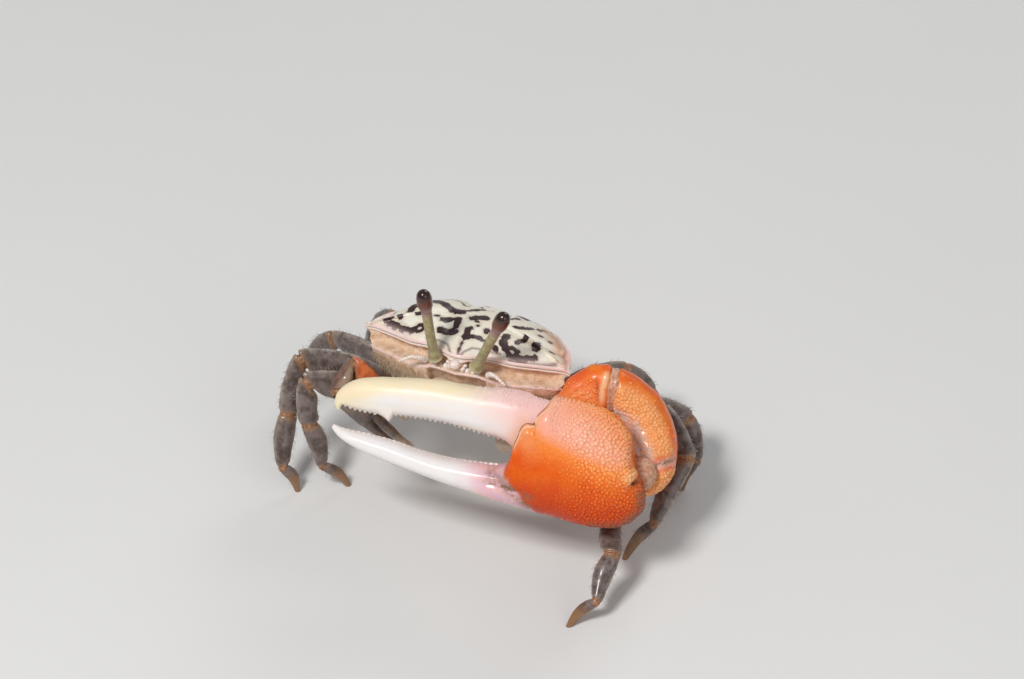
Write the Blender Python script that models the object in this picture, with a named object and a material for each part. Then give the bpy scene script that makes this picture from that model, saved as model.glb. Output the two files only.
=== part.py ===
"""A life-size fiddler crab, standing on its eight walking legs with the large claw held across its face.

Sizes are in millimetres in the functions below and become metres as each mesh is made. Before it is set down,
everything is placed from the point between the roots of the two eyestalks, which is the zero of every place
below: +X is the crab's left, -Y is ahead of it and +Z is up.
"""

import math

import bmesh
import bpy
import numpy as np
from mathutils import Vector

MM = 0.001

# Driving sizes of the body, in mm.
CARAPACE_WIDTH = 26.0
CARAPACE_LENGTH = 17.0
STANCE_HEIGHT = 22.0
BODY_PITCH = math.radians(14)
JOINT_GAP = 0.32

# The middle of the whole crab in plan, which is set over the origin.
STANCE_CENTRE = (2.14, 0.98)

# Driving sizes of the eyes, in mm.
EYE_SPACING = 5.32
EYESTALK_DIAMETER = 1.2
EYE_WIDTH = 1.9
EYE_LENGTH = 3.1

# The large claw: the place of its wrist, and the directions along it, up its face and out of its face.
WRIST = np.array([26.6, -5.0, -6.0])
CLAW_TILT = math.radians(28)
CLAW_REACH = np.array([-37.0, -5.0, 1.3])
TOOTH_PITCH = 0.64

# Colours, linear RGB.
COLOURS = {
    "shell": (0.80, 0.76, 0.60),
    "underside": (0.50, 0.33, 0.20),
    "eyestalk": (0.30, 0.24, 0.10),
    "eye": (0.06, 0.012, 0.010),
    "claw": (0.80, 0.16, 0.015),
    "finger": (0.85, 0.76, 0.62),
    "small_claw": (0.30, 0.06, 0.02),
    "leg": (0.12, 0.12, 0.16),
}


def unit(vector):
    """The vector at length one."""
    vector = np.asarray(vector, float)
    return vector / np.linalg.norm(vector)


def body(x, forward, up):
    """A place on the pitched body: across, forward of the eyestalks and up from them."""
    cos, sin = math.cos(BODY_PITCH), math.sin(BODY_PITCH)
    return np.array([x, -forward * cos + up * sin, forward * sin + up * cos])


def on_claw(along, up, out=0.0):
    """A place on the large claw: along it from the wrist, up its face and out of it."""
    reach = unit(CLAW_REACH)
    tilt = np.array([0, math.sin(CLAW_TILT), math.cos(CLAW_TILT)])
    rise = unit(tilt - reach * tilt.dot(reach))
    return WRIST + reach * along + rise * up + np.cross(rise, reach) * out


def smooth(points, steps):
    """Places on a smooth curve through the given ones, with this many steps to a stretch."""
    points = np.asarray(points, float)
    found = []
    for i in range(len(points) - 1):
        before = points[max(i - 1, 0)]
        start, end = points[i], points[i + 1]
        after = points[min(i + 2, len(points) - 1)]
        for k in range(steps):
            t = k / steps
            bend = (2 * before - 5 * start + 4 * end - after) * t**2
            twist = (3 * start - before - 3 * end + after) * t**3
            found.append(0.5 * (2 * start + (end - before) * t + bend + twist))
    found.append(points[-1])
    return np.array(found)


def fade(value, start, end):
    """0 up to start and 1 from end on, with a soft change between."""
    t = min(max((value - start) / (end - start), 0.0), 1.0)
    return t * t * (3 - 2 * t)


def material_named(name):
    """The material of this name, made at its first use."""
    if name in bpy.data.materials:
        return bpy.data.materials[name]
    material = bpy.data.materials.new(name)
    material.use_nodes = True
    shader = material.node_tree.nodes["Principled BSDF"]
    shader.inputs["Base Color"].default_value = (*COLOURS[name], 1)
    shader.inputs["Roughness"].default_value = 0.12 if name == "eye" else 0.38
    return material


def set_down(point):
    """A place in metres, with the crab over the origin and its feet on the floor."""
    x, y, z = point
    return Vector((x - STANCE_CENTRE[0], y - STANCE_CENTRE[1], z + STANCE_HEIGHT)) * MM


def object_from(bm, name, colour):
    """The mesh as an object of this name, with its faces pointing out."""
    bmesh.ops.recalc_face_normals(bm, faces=bm.faces)
    if bm.calc_volume(signed=True) < 0:
        bmesh.ops.reverse_faces(bm, faces=bm.faces)
    mesh = bpy.data.meshes.new(name)
    bm.to_mesh(mesh)
    bm.free()
    mesh.shade_smooth()
    mesh.set_sharp_from_angle(angle=math.radians(50))
    mesh.materials.append(material_named(colour))
    obj = bpy.data.objects.new(name, mesh)
    CRAB.objects.link(obj)
    return obj


def loft(name, rings, colour):
    """A closed solid through rings of as many points each, each end closed by a fan."""
    bm = bmesh.new()
    loops = [[bm.verts.new(set_down(p)) for p in ring] for ring in rings]
    count = len(loops[0])
    for low, high in zip(loops, loops[1:]):
        for i in range(count):
            j = (i + 1) % count
            bm.faces.new((low[i], low[j], high[j], high[i]))
    for ring, loop in ((rings[0], loops[0]), (rings[-1], loops[-1])):
        middle = bm.verts.new(set_down(np.mean(ring, axis=0)))
        for i in range(count):
            bm.faces.new((middle, loop[i], loop[(i + 1) % count]))
    return object_from(bm, name, colour)


def union(base, pieces):
    """Joins closed pieces to the base in one Boolean and keeps the largest closed surface."""
    together = bpy.data.collections.new("joined")
    bpy.context.scene.collection.children.link(together)
    for piece in pieces:
        CRAB.objects.unlink(piece)
        together.objects.link(piece)
    modifier = base.modifiers.new("join", "BOOLEAN")
    modifier.operand_type = "COLLECTION"
    modifier.collection = together
    modifier.operation = "UNION"
    modifier.solver = "MANIFOLD"
    graph = bpy.context.evaluated_depsgraph_get()
    joined = bpy.data.meshes.new_from_object(base.evaluated_get(graph))
    base.modifiers.clear()
    base.data = joined
    for piece in list(together.objects):
        bpy.data.objects.remove(piece)
    bpy.data.collections.remove(together)
    keep_largest(joined)
    return base


def keep_largest(mesh):
    """Deletes every loose piece of the mesh but the one with most corners."""
    bm = bmesh.new()
    bm.from_mesh(mesh)
    left = set(bm.verts)
    shells = []
    while left:
        shell, edge = set(), [left.pop()]
        while edge:
            vert = edge.pop()
            shell.add(vert)
            for link in vert.link_edges:
                other = link.other_vert(vert)
                if other in left:
                    left.discard(other)
                    edge.append(other)
        shells.append(shell)
    shells.sort(key=len)
    for shell in shells[:-1]:
        bmesh.ops.delete(bm, geom=list(shell), context="VERTS")
    bm.to_mesh(mesh)
    bm.free()


# Carapace. Half outlines run from the middle of the front to the middle of the back, as across, forward and up.
CORNER = (CARAPACE_WIDTH / 2, -4.4, -0.9)
FRONT_MARGIN = ((0, -0.2, -0.1), (1.3, -0.5, -0.1), (3.0, -1.5, -0.15), (4.4, -1.95, -0.25), (6.5, -2.2, -0.4),
                (9.2, -3.4, -0.65), (11.2, -4.4, -0.85), CORNER)
SIDE_MARGIN = (CORNER, (12.5, -6.4, -0.9), (11.3, -9.2, -1.1), (9.6, -12.2, -1.6), (8.0, -15.0, -2.3),
               (6.0, -16.5, -2.8), (3.0, -16.9, -2.9), (0, -CARAPACE_LENGTH, -2.9))
DOME_CENTRE = (-8.4, 1.7)
SUBORBITAL_RIDGE = ((0, -0.3, -2.5), (3.0, -0.4, -2.3), (5.3, -1.2, -3.2), (9.0, -2.3, -3.1), (11.6, -3.6, -3.3),
                    (12.4, -4.9, -3.5))
MOUTH_HALF_WIDTH = 3.75
MOUTH_EDGE = 0.4
LOBE_HALF_WIDTH = 0.8
LOBE_EDGE = 0.7

# The wall under the rim: how far it is drawn in at its top and at its foot, and how far down they are.
WALL_TOP = 0.955
WALL_FOOT = 0.74
WALL_DROP = 2.2
WALL_BOTTOM = -7.5

# The front of the body runs between these two places forward, and the sides behind them keep a narrow rim.
FRONT_FADE = (-7.0, -4.6)
SIDE_RIM = 0.35
CORNER_FADE = (11.6, 12.9)


def margin():
    """Half of the carapace's rim."""
    front = smooth(FRONT_MARGIN, 3)
    side = smooth(SIDE_MARGIN, 3)
    return np.vstack([front, side[1:]])


def both_sides(half):
    """A ring on the body from its left half, seen from above."""
    right = [(-x, f, h) for x, f, h in half[-2:0:-1]]
    return [body(*p) for p in list(half) + right]


def shell_level(inset, drop, proud=0.0):
    """The rim moved in and down, with the lobe between the eyes proud of it."""
    level = []
    for x, f, h in margin():
        way = unit((x, f - DOME_CENTRE[0]))
        front = fade(f, *FRONT_FADE) * (1 - fade(abs(x), *CORNER_FADE))
        depth = inset * (SIDE_RIM + (1 - SIDE_RIM) * front)
        lobe = proud * (1 - fade(abs(x), LOBE_HALF_WIDTH, LOBE_HALF_WIDTH + LOBE_EDGE))
        level.append((x - way[0] * depth, f - way[1] * depth + lobe, h - drop))
    return level


def wall_level(part, recess=0.0):
    """The wall of the shell, from 0 at the ridge under the orbits to 1 at its lower edge."""
    level = []
    ridge = np.array(SUBORBITAL_RIDGE)
    for x, f, h in margin():
        across = x * WALL_TOP
        back = (DOME_CENTRE[0] + (f - DOME_CENTRE[0]) * WALL_TOP, h - WALL_DROP)
        front = fade(f, *FRONT_FADE)
        forward = back[0] + (np.interp(across, ridge[:, 0], ridge[:, 1]) - back[0]) * front
        up = back[1] + (np.interp(across, ridge[:, 0], ridge[:, 2]) - back[1]) * front
        mouth = recess * (1 - fade(abs(x), MOUTH_HALF_WIDTH, MOUTH_HALF_WIDTH + MOUTH_EDGE)) * front
        foot = (x * WALL_FOOT, DOME_CENTRE[0] + (f - DOME_CENTRE[0]) * WALL_FOOT - 0.4 * front)
        inward = part**1.5
        level.append((across + (foot[0] - across) * inward, forward + (foot[1] - forward) * inward - mouth,
                      up + (WALL_BOTTOM - up) * part))
    return level


def dome_level(part):
    """A ring of the domed back at this part of the way out to the rim."""
    level = []
    for x, f, h in margin():
        rise = DOME_CENTRE[1] * (1 - part**2.4) + h * part**2.0
        level.append((x * part, DOME_CENTRE[0] + (f - DOME_CENTRE[0]) * part, rise))
    return level


def carapace():
    """The shell over the body: domed back, rim, orbits, the ridge under them and the walls."""
    levels = [dome_level(part) for part in (0.22, 0.5, 0.75, 0.92)]
    levels += [shell_level(0, 0), shell_level(0.12, 0.5, proud=0.2)]
    levels += [shell_level(1.15, 0.95, proud=1.4), shell_level(1.3, 1.9, proud=1.3)]
    levels += [wall_level(0), wall_level(0.16, 0.9), wall_level(0.55, 1.0), wall_level(1.0, 0.6)]
    return loft("carapace", [both_sides(level) for level in levels], "shell")


# Underside: the breast plate with the sockets of the legs, and the narrow tail flap folded under it.
PLATE_HALF = ((0, -3.4), (3.6, -3.2), (6.4, -3.0), (7.9, -4.8), (8.2, -8.0), (7.6, -11.5), (5.6, -14.2), (2.6, -15.2),
              (0, -15.4))
PLATE_TOP = WALL_BOTTOM - JOINT_GAP
PLATE_BOTTOM = -11.0
FLAP_HALF = ((0, -5.0), (0.9, -5.6), (1.3, -8.0), (1.7, -11.0), (2.1, -13.4), (1.9, -14.8), (0, -15.2))
FLAP_THICKNESS = 0.8
PLATE_MIDDLE = -9.2

# How far across and forward a socket reaches into the plate, and its number of sides.
SOCKET_DEPTH = (5.4, -4.8)
SOCKET_SIDES = 8


def plate_level(half, squeeze, up):
    """A ring of a plate under the body."""
    return [(x * squeeze, PLATE_MIDDLE + (f - PLATE_MIDDLE) * squeeze, up) for x, f in half]


def socket(root, along, radius):
    """A short stub from inside the breast plate to a limb's root, cut square to the limb."""
    _, forward, up = to_body(root)
    inner = body(math.copysign(SOCKET_DEPTH[0], root[0]), min(forward, SOCKET_DEPTH[1]), up)
    end = root - along * JOINT_GAP / 2
    places = [inner, end - along * 1.6, end - along * 0.7, end]
    return tube("socket", places, [radius * 1.1, radius * 1.1, radius * 1.06, radius], SOCKET_SIDES, "leg")


def tube(name, places, radii, sides, colour):
    """A round solid through the places."""
    rings = []
    for i, place in enumerate(places):
        along = unit(places[min(i + 1, len(places) - 1)] - places[max(i - 1, 0)])
        across = unit(np.cross(along, (0.13, 0.2, 0.97)))
        other = np.cross(along, across)
        turn = [2 * math.pi * k / sides for k in range(sides)]
        rings.append([place + radii[i] * (across * math.cos(a) + other * math.sin(a)) for a in turn])
    return loft(name, rings, colour)


def underbody(roots):
    """The breast plate with one socket for each leg and claw."""
    half = smooth(PLATE_HALF, 2)
    levels = [plate_level(half, 0.93, PLATE_TOP), plate_level(half, 1.0, PLATE_TOP - 0.7),
              plate_level(half, 0.97, PLATE_BOTTOM + 0.7), plate_level(half, 0.86, PLATE_BOTTOM)]
    plate = loft("underbody", [both_sides(level) for level in levels], "underside")
    return union(plate, [socket(*root) for root in roots])


def to_body(place):
    """The across, forward and up of a place."""
    cos, sin = math.cos(BODY_PITCH), math.sin(BODY_PITCH)
    x, y, z = place
    return np.array([x, -y * cos + z * sin, y * sin + z * cos])


def tail_flap():
    """The male's narrow tail, folded flat under the breast plate."""
    half = smooth(FLAP_HALF, 2)
    top = PLATE_BOTTOM - JOINT_GAP
    levels = [plate_level(half, 0.92, top), plate_level(half, 1.0, top - 0.2),
              plate_level(half, 0.9, top - FLAP_THICKNESS)]
    return loft("abdomen", [both_sides(level) for level in levels], "underside")


# An outer mouth-leg, as across and up, and its levels, as their size and how far out they are.
MOUTH_LEG_OUTLINE = ((0.25, -4.0), (2.0, -3.8), (3.2, -4.6), (3.35, -6.4), (2.9, -8.2), (1.7, -9.3), (0.45, -9.4),
                     (0.2, -6.8))
MOUTH_LEG_LEVELS = ((0.9, -1.3), (1.0, -1.05), (0.98, -0.55), (0.8, -0.3))
MOUTH_LEG_LEAN = 0.16
MOUTH_TOP = -4.0


def mouth_leg(name, side):
    """An outer mouth-leg: a leaf-shaped plate that covers half of the mouth."""
    outline = smooth(MOUTH_LEG_OUTLINE, 2)
    middle = outline.mean(axis=0)
    rings = []
    for size, out in MOUTH_LEG_LEVELS:
        ring = []
        for x, h in outline:
            across = middle[0] + (x - middle[0]) * size
            up = middle[1] + (h - middle[1]) * size
            ring.append(body(side * across, out + MOUTH_LEG_LEAN * (up - MOUTH_TOP), up))
        rings.append(ring)
    return loft(name, rings, "underside")


ANTENNA_PATH = ((4.0, -0.75, -1.9), (4.5, 0.1, -1.3), (5.4, 0.6, -1.2), (6.6, 0.8, -1.9))
ANTENNA_RADII = (0.34, 0.2)
ANTENNA_SIDES = 6


def antenna(name, side):
    """A short feeler beside the eyestalk's root."""
    places = smooth([body(side * x, f, h) for x, f, h in ANTENNA_PATH], 2)
    return tube(name, places, np.linspace(*ANTENNA_RADII, len(places)), ANTENNA_SIDES, "underside")


# Eyes. Each stalk runs from its root to the foot of its eye, and the eye stands on it. The tops are from the roots.
EYE_TOPS = {"right": (-1.15, -0.6, 10.1), "left": (3.75, -0.4, 9.3)}
EYE_ROOT_DROP = 0.75

# Along a stalk and along an eye: the part of the way up, and the half width there as a part of the widest.
STALK_PROFILE = ((0, 0.12, 0.3, 0.8, 1), (1.2, 1.33, 1.0, 1.0, 1.12))
EYE_PROFILE = ((0.0, 0.12, 0.35, 0.6, 0.8, 0.93, 1.0), (0.62, 0.8, 0.96, 1.0, 0.84, 0.55, 0.15))
STALK_SIDES = 8
EYE_SIDES = 10


def eyestalk_root(side):
    """The root of a stalk, in the hollow under the shell's front."""
    return np.array([side * EYE_SPACING / 2, 0.0, -EYE_ROOT_DROP])


def eyestalk(name, side, lean):
    """A slender stalk from the front of the shell."""
    root = eyestalk_root(side)
    top = root + np.array(lean)
    along = unit(top - root)
    end = top - along * (EYE_LENGTH + JOINT_GAP)
    places = smooth([root, root + along * 1.2, (root + end) / 2 + np.array([0, -0.12, 0]), end], 2)
    radii = EYESTALK_DIAMETER / 2 * np.interp(np.linspace(0, 1, len(places)), *STALK_PROFILE)
    return tube(name, places, radii, STALK_SIDES, "eyestalk")


def eye(name, side, lean):
    """A long upright eye with a round top."""
    root = eyestalk_root(side)
    top = root + np.array(lean)
    along = unit(top - root)
    foot = top - along * EYE_LENGTH
    places = [foot + along * EYE_LENGTH * part for part in EYE_PROFILE[0]]
    return tube(name, places, [EYE_WIDTH / 2 * part for part in EYE_PROFILE[1]], EYE_SIDES, "eye")


# Large claw. Upper and lower edges are matched places along and up the claw's face, then half a thickness.
PALM_UPPER = ((0.3, -0.6), (1.9, 1.2), (3.4, 3.8), (5.2, 5.5), (7.6, 6.6), (10.5, 6.9), (12.8, 7.0), (14.4, 6.5),
              (14.9, 4.4), (15.9, 2.4), (17.0, 0.2), (17.7, -2.1), (20.6, -2.4), (24.2, -2.5), (27.9, -2.2),
              (31.0, -1.6), (34.2, -1.3), (36.8, -1.15), (38.4, -0.8))
PALM_LOWER = ((-0.3, -2.4), (0.0, -4.3), (1.5, -6.1), (3.6, -7.2), (6.0, -7.55), (8.4, -7.5), (10.4, -7.3),
              (12.2, -7.1), (13.7, -6.95), (15.2, -6.8), (16.7, -6.6), (18.6, -6.4), (21.3, -5.95), (24.8, -5.4),
              (28.4, -4.7), (31.6, -4.1), (34.6, -3.4), (36.9, -2.5), (38.5, -1.3))
PALM_HALF = (1.4, 2.5, 3.3, 3.8, 4.1, 4.2, 4.15, 4.0, 3.7, 3.35, 2.95, 2.55, 2.35, 2.2, 2.0, 1.75, 1.4, 1.0, 0.35)
FINGER_UPPER = ((14.95, 6.35), (16.2, 6.85), (18.2, 6.85), (20.6, 6.6), (23.6, 6.5), (26.6, 6.5), (30.1, 6.2),
                (33.7, 5.6), (36.0, 4.7), (37.9, 3.4), (38.75, 2.2))
FINGER_LOWER = ((17.5, 0.25), (17.9, 0.85), (18.9, 1.1), (21.1, 1.35), (24.0, 1.7), (27.0, 1.85), (30.4, 1.75),
                (33.4, 1.25), (35.4, 1.35), (37.2, 1.6), (38.3, 1.35))
FINGER_HALF = (2.5, 2.6, 2.5, 2.35, 2.25, 2.15, 2.0, 1.8, 1.5, 1.05, 0.5)
CLAW_SIDES = 18
CLAW_EDGE_ROUND = (0.9, 0.85)
PALM_FULLNESS = (1.08, 0.78)
FINGER_FULLNESS = (1.0, 0.9)

# Rows of teeth: the edge's stretch along the claw, then the pitch, height, radius, depth inside and direction.
TOOTH_SIDES = 5
PALM_TEETH = (18.6, 37.0, TOOTH_PITCH * 1.5, 0.22, 0.34, 0.5, 1)
FINGER_TEETH = (18.9, 31.0, TOOTH_PITCH * 1.2, 0.34, 0.33, 0.5, -1)
FINGER_TIP_TEETH = (32.9, 37.4, TOOTH_PITCH * 1.2, 0.34, 0.3, 0.45, -1)

# The movable finger's one large tooth and its hooked tip: the root, the point and the radius.
LARGE_TEETH = (((31.6, 2.6), (31.9, 0.55), 0.95), ((37.9, 2.6), (38.2, 0.55), 0.6))


def blade(name, upper, lower, half, sides, colour, fullness=(1.0, 1.0), place=on_claw):
    """A loft whose sections run from the lower edge to the upper, oval, with its outer and inner fullness."""
    rings = []
    rows = np.column_stack([upper, lower, half])
    for row in smooth(rows, 2):
        top, bottom, thick = row[:2], row[2:4], row[4]
        middle, arm = (top + bottom) / 2, (top - bottom) / 2
        ring = []
        for k in range(sides):
            angle = 2 * math.pi * k / sides
            across = math.copysign(abs(math.cos(angle)) ** CLAW_EDGE_ROUND[0], math.cos(angle))
            out = math.copysign(abs(math.sin(angle)) ** CLAW_EDGE_ROUND[1], math.sin(angle))
            along, up = middle + arm * across
            ring.append(place(along, up, thick * out * fullness[0 if out > 0 else 1]))
        rings.append(ring)
    return loft(name, rings, colour)


def tooth(root, tip, radius):
    """A small cone from inside the edge to its point, both along and up the claw's face."""
    root, tip = on_claw(*root), on_claw(*tip)
    return tube("tooth", [root, root + (tip - root) * 0.97], [radius, radius * 0.14], TOOTH_SIDES, "finger")


def edge_teeth(edge, start, end, pitch, height, radius, sink, down, seed):
    """A row of small teeth along an edge of the claw, each a little unlike the next."""
    rng = np.random.default_rng(seed)
    edge = np.asarray(edge)
    teeth = []
    for along in np.arange(start, end, pitch):
        along = along + rng.uniform(-0.08, 0.08)
        up = np.interp(along, edge[:, 0], edge[:, 1])
        tall = height * rng.uniform(0.75, 1.2)
        teeth.append(tooth((along, up - down * sink), (along, up + down * tall), radius * rng.uniform(0.9, 1.1)))
    return teeth


def palm_and_fixed_finger():
    """The palm of the large claw with its fixed lower finger and the finger's low teeth."""
    palm = blade("major_palm", PALM_UPPER, PALM_LOWER, PALM_HALF, CLAW_SIDES, "claw", PALM_FULLNESS)
    return union(palm, edge_teeth(PALM_UPPER[11:], *PALM_TEETH, seed=3))


def movable_finger():
    """The movable upper finger, with its saw edge, one large tooth and a hooked tip."""
    finger = blade("major_finger", FINGER_UPPER, FINGER_LOWER, FINGER_HALF, CLAW_SIDES, "finger", FINGER_FULLNESS)
    teeth = edge_teeth(FINGER_LOWER, *FINGER_TEETH, seed=5)
    teeth += edge_teeth(FINGER_LOWER, *FINGER_TIP_TEETH, seed=7)
    teeth += [tooth(*large) for large in LARGE_TEETH]
    return union(finger, teeth)


# Limbs. Each segment is a loft between two joint faces, wide in the limb's own plane and thin across it.
SEGMENT_SIDES = 12


def face_between(before, joint, after):
    """The direction square to the face of a joint, halfway between the two segments."""
    return unit(unit(joint - before) + unit(after - joint))


def segment(name, start, end, faces, wide, profile, colour, bow=0.0, sides=SEGMENT_SIDES, gaps=(0.5, 0.5)):
    """A limb segment. The profile's rows are the part of the way along, half the depth and half the thickness."""
    along = unit(end - start)
    thin = unit(np.cross(along, wide))
    wide = np.cross(thin, along)
    length = np.linalg.norm(end - start)
    rings = []
    for part, deep, thick in smooth(profile, 2):
        ring = []
        for k in range(sides):
            angle = 2 * math.pi * (k + 0.5) / sides
            offset = wide * deep * math.cos(angle) + thin * thick * math.sin(angle)
            first = (-offset.dot(faces[0]) + JOINT_GAP * gaps[0]) / along.dot(faces[0])
            last = length + (-offset.dot(faces[1]) - JOINT_GAP * gaps[1]) / along.dot(faces[1])
            reach = first + (last - first) * part
            ring.append(start + along * reach + offset + wide * bow * math.sin(math.pi * part))
        rings.append(ring)
    return loft(name, rings, colour)


FLOOR = -STANCE_HEIGHT
UP = np.array([0.0, 0.0, 1.0])

# Roots of the legs on the body, as across, forward and up, from the front pair to the hind pair.
LEG_ROOTS = {"1": (10.0, -4.2, -9.8), "2": (10.3, -7.6, -9.7), "3": (9.9, -11.0, -9.6), "4": (8.4, -14.0, -9.4)}

# Joints of each walking leg: knee, wrist, ankle and tip.
LEG_JOINTS = {
    "left_leg_1": ((21.3, -4.4, -14.9), (23.2, -10.1, -15.7), (22.9, -14.9, -18.9), (20.3, -17.0, FLOOR)),
    "left_leg_2": ((22.8, 8.7, -9.0), (27.2, 4.8, -12.0), (25.5, -1.7, -17.2), (22.7, -3.8, FLOOR)),
    "left_leg_3": ((20.2, 12.0, -11.2), (24.2, 14.1, -14.2), (26.2, 12.3, -18.6), (25.2, 10.2, FLOOR)),
    "left_leg_4": ((15.4, 17.2, -11.4), (18.3, 18.2, -15.0), (19.7, 17.0, -19.0), (18.6, 16.2, FLOOR)),
    "right_leg_1": ((-17.8, -2.6, -7.4), (-17.5, -3.6, -12.8), (-15.6, -4.4, -18.2), (-13.0, -2.9, FLOOR)),
    "right_leg_2": ((-19.6, -0.2, -6.4), (-20.5, -2.9, -12.6), (-19.9, -6.5, -17.9), (-18.4, -5.9, FLOOR)),
    "right_leg_3": ((-19.8, 10.6, -11.4), (-22.6, 11.0, -15.2), (-22.7, 12.5, -19.2), (-21.2, 13.6, FLOOR)),
    "right_leg_4": ((-14.4, 16.6, -11.2), (-17.4, 18.3, -14.4), (-18.7, 18.4, -18.8), (-17.6, 18.8, FLOOR)),
}
LEG_BULK = {"1": 0.92, "2": 1.0, "3": 1.0, "4": 0.8}
MERUS_PROFILE = ((0, 1.1, 0.8), (0.15, 1.65, 0.95), (0.45, 2.05, 1.05), (0.8, 1.75, 0.95), (1, 1.3, 0.85))
CARPUS_PROFILE = ((0, 1.15, 0.8), (0.4, 1.4, 0.9), (0.8, 1.4, 0.9), (1, 1.25, 0.8))
PROPODUS_PROFILE = ((0, 1.15, 0.76), (0.35, 1.3, 0.8), (0.8, 1.0, 0.68), (1, 0.8, 0.58))
DACTYL_PROFILE = ((0, 0.7, 0.52), (0.25, 0.8, 0.54), (0.65, 0.55, 0.42), (1, 0.32, 0.3))


LEG_PARTS = (("merus", MERUS_PROFILE, 0.35), ("carpus", CARPUS_PROFILE, 0.3), ("propodus", PROPODUS_PROFILE, 0.25),
             ("dactyl", DACTYL_PROFILE, 0.35))
LEG_SOCKET = 1.1


def bulk(profile, size):
    """A profile made thicker or thinner."""
    return [(part, deep * size, thick * size) for part, deep, thick in profile]


def walking_leg(name):
    """One walking leg in four segments, from the socket to the small flat of its tip."""
    across, forward, up = LEG_ROOTS[name[-1]]
    root = body(across if name.startswith("left") else -across, forward, up)
    joints = [root] + [np.array(joint) for joint in LEG_JOINTS[name]]
    size = LEG_BULK[name[-1]]
    plane = unit(np.cross(joints[1] - joints[0], joints[3] - joints[1]))
    faces = [unit(joints[1] - joints[0])]
    faces += [face_between(*joints[i - 1:i + 2]) for i in (1, 2, 3)]
    faces.append(-UP)
    for i, (part, profile, bow) in enumerate(LEG_PARTS):
        wide = np.cross(plane, unit(joints[i + 1] - joints[i]))
        if wide[2] < 0:
            wide = -wide
        last_gap = 0.0 if part == "dactyl" else 0.5
        segment(f"{name}_{part}", joints[i], joints[i + 1], (faces[i], faces[i + 1]), wide, bulk(profile, size),
                "leg", bow=bow, gaps=(0.5, last_gap))
    return joints[0], faces[0], LEG_SOCKET * size


# Arms of the two claws.
MAJOR_ROOT = body(8.4, -1.5, -9.4)
MAJOR_ELBOW = np.array([18.3, 3.6, -3.0])
CARPUS_PATH = ((20.8, 3.8, -5.2), (22.9, 2.3, -8.4), (23.95, -1.0, -9.3), (24.2, -2.95, -8.5))
CARPUS_DEEP = (3.1, 3.6, 3.9, 3.7, 2.7)
CARPUS_THICK = (2.6, 3.3, 3.6, 3.4, 2.5)
CARPUS_CREST = np.array([0.75, 0.2, 0.63])
MINOR_ROOT = body(-8.0, -1.8, -9.2)
MINOR_ELBOW = np.array([-13.0, -0.6, -4.9])
MINOR_WRIST = np.array([-14.0, -3.2, -6.8])
MINOR_TIP = np.array([-5.7, -3.4, -13.0])
ARM_PROFILE = ((0, 1.3, 1.3), (0.3, 2.0, 1.8), (0.7, 3.0, 2.2), (0.92, 3.3, 2.4), (1, 3.1, 2.3))
WRIST_PIECE_SIDES = 14
MINOR_MERUS_PROFILE = ((0, 0.9, 0.8), (0.4, 1.4, 1.0), (0.8, 1.6, 1.1), (1, 1.3, 1.0))
MINOR_CARPUS_PROFILE = ((0, 1.2, 0.9), (0.5, 1.5, 1.1), (1, 1.2, 0.95))
MINOR_SIDES = 8

# The small claw's hand and movable finger, as for the large claw.
HAND_UPPER = ((1.15, 0.7), (2.4, 1.3), (4.6, 1.35), (5.6, 0.1), (7.6, -0.35), (10.0, -0.25), (11.9, -0.1))
HAND_LOWER = ((0.25, -0.9), (1.6, -1.4), (4.2, -1.5), (5.8, -1.35), (7.8, -1.2), (10.0, -1.05), (11.9, -0.75))
HAND_HALF = (0.75, 1.05, 1.1, 0.8, 0.55, 0.5, 0.4)
THUMB_UPPER = ((5.0, 1.3), (6.6, 1.35), (9.0, 1.2), (11.2, 0.9), (12.1, 0.6))
THUMB_LOWER = ((6.1, 0.36), (7.6, 0.32), (9.2, 0.35), (11.2, 0.3), (12.1, 0.25))
THUMB_HALF = (0.6, 0.6, 0.5, 0.45, 0.3)

# The radii of the two arms' sockets.
ARM_SOCKETS = (1.4, 0.95)


def major_arm():
    """The arm of the large claw: a three-sided upper arm and the big rounded wrist piece."""
    along = unit(MAJOR_ELBOW - MAJOR_ROOT)
    elbow_face = face_between(MAJOR_ROOT, MAJOR_ELBOW, np.array(CARPUS_PATH[0]))
    wide = unit(np.cross(np.cross(along, UP), along))
    segment("major_merus", MAJOR_ROOT, MAJOR_ELBOW, (along, elbow_face), wide, ARM_PROFILE, "claw", bow=0.4,
            gaps=(0.5, 0.8))
    path = smooth([MAJOR_ELBOW + elbow_face * JOINT_GAP * 1.3, *CARPUS_PATH], 3)
    steps = np.linspace(0, len(CARPUS_PATH), len(path))
    wrist_face = on_claw(0, 0, 1) - WRIST
    rings = []
    for i, place in enumerate(path):
        part = i / (len(path) - 1)
        run = unit(path[min(i + 1, len(path) - 1)] - path[max(i - 1, 0)])
        toward = unit(run + elbow_face * max(0, 1 - 5 * part) * 20 + wrist_face * max(0, 5 * part - 4) * 20)
        side = unit(np.cross(toward, CARPUS_CREST))
        up = np.cross(side, toward)
        deep = np.interp(steps[i], range(len(CARPUS_DEEP)), CARPUS_DEEP)
        thick = np.interp(steps[i], range(len(CARPUS_THICK)), CARPUS_THICK)
        turn = [2 * math.pi * k / WRIST_PIECE_SIDES for k in range(WRIST_PIECE_SIDES)]
        rings.append([place + up * deep * math.cos(a) + side * thick * math.sin(a) for a in turn])
    loft("major_carpus", rings, "claw")
    return MAJOR_ROOT, along, ARM_SOCKETS[0]


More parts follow.
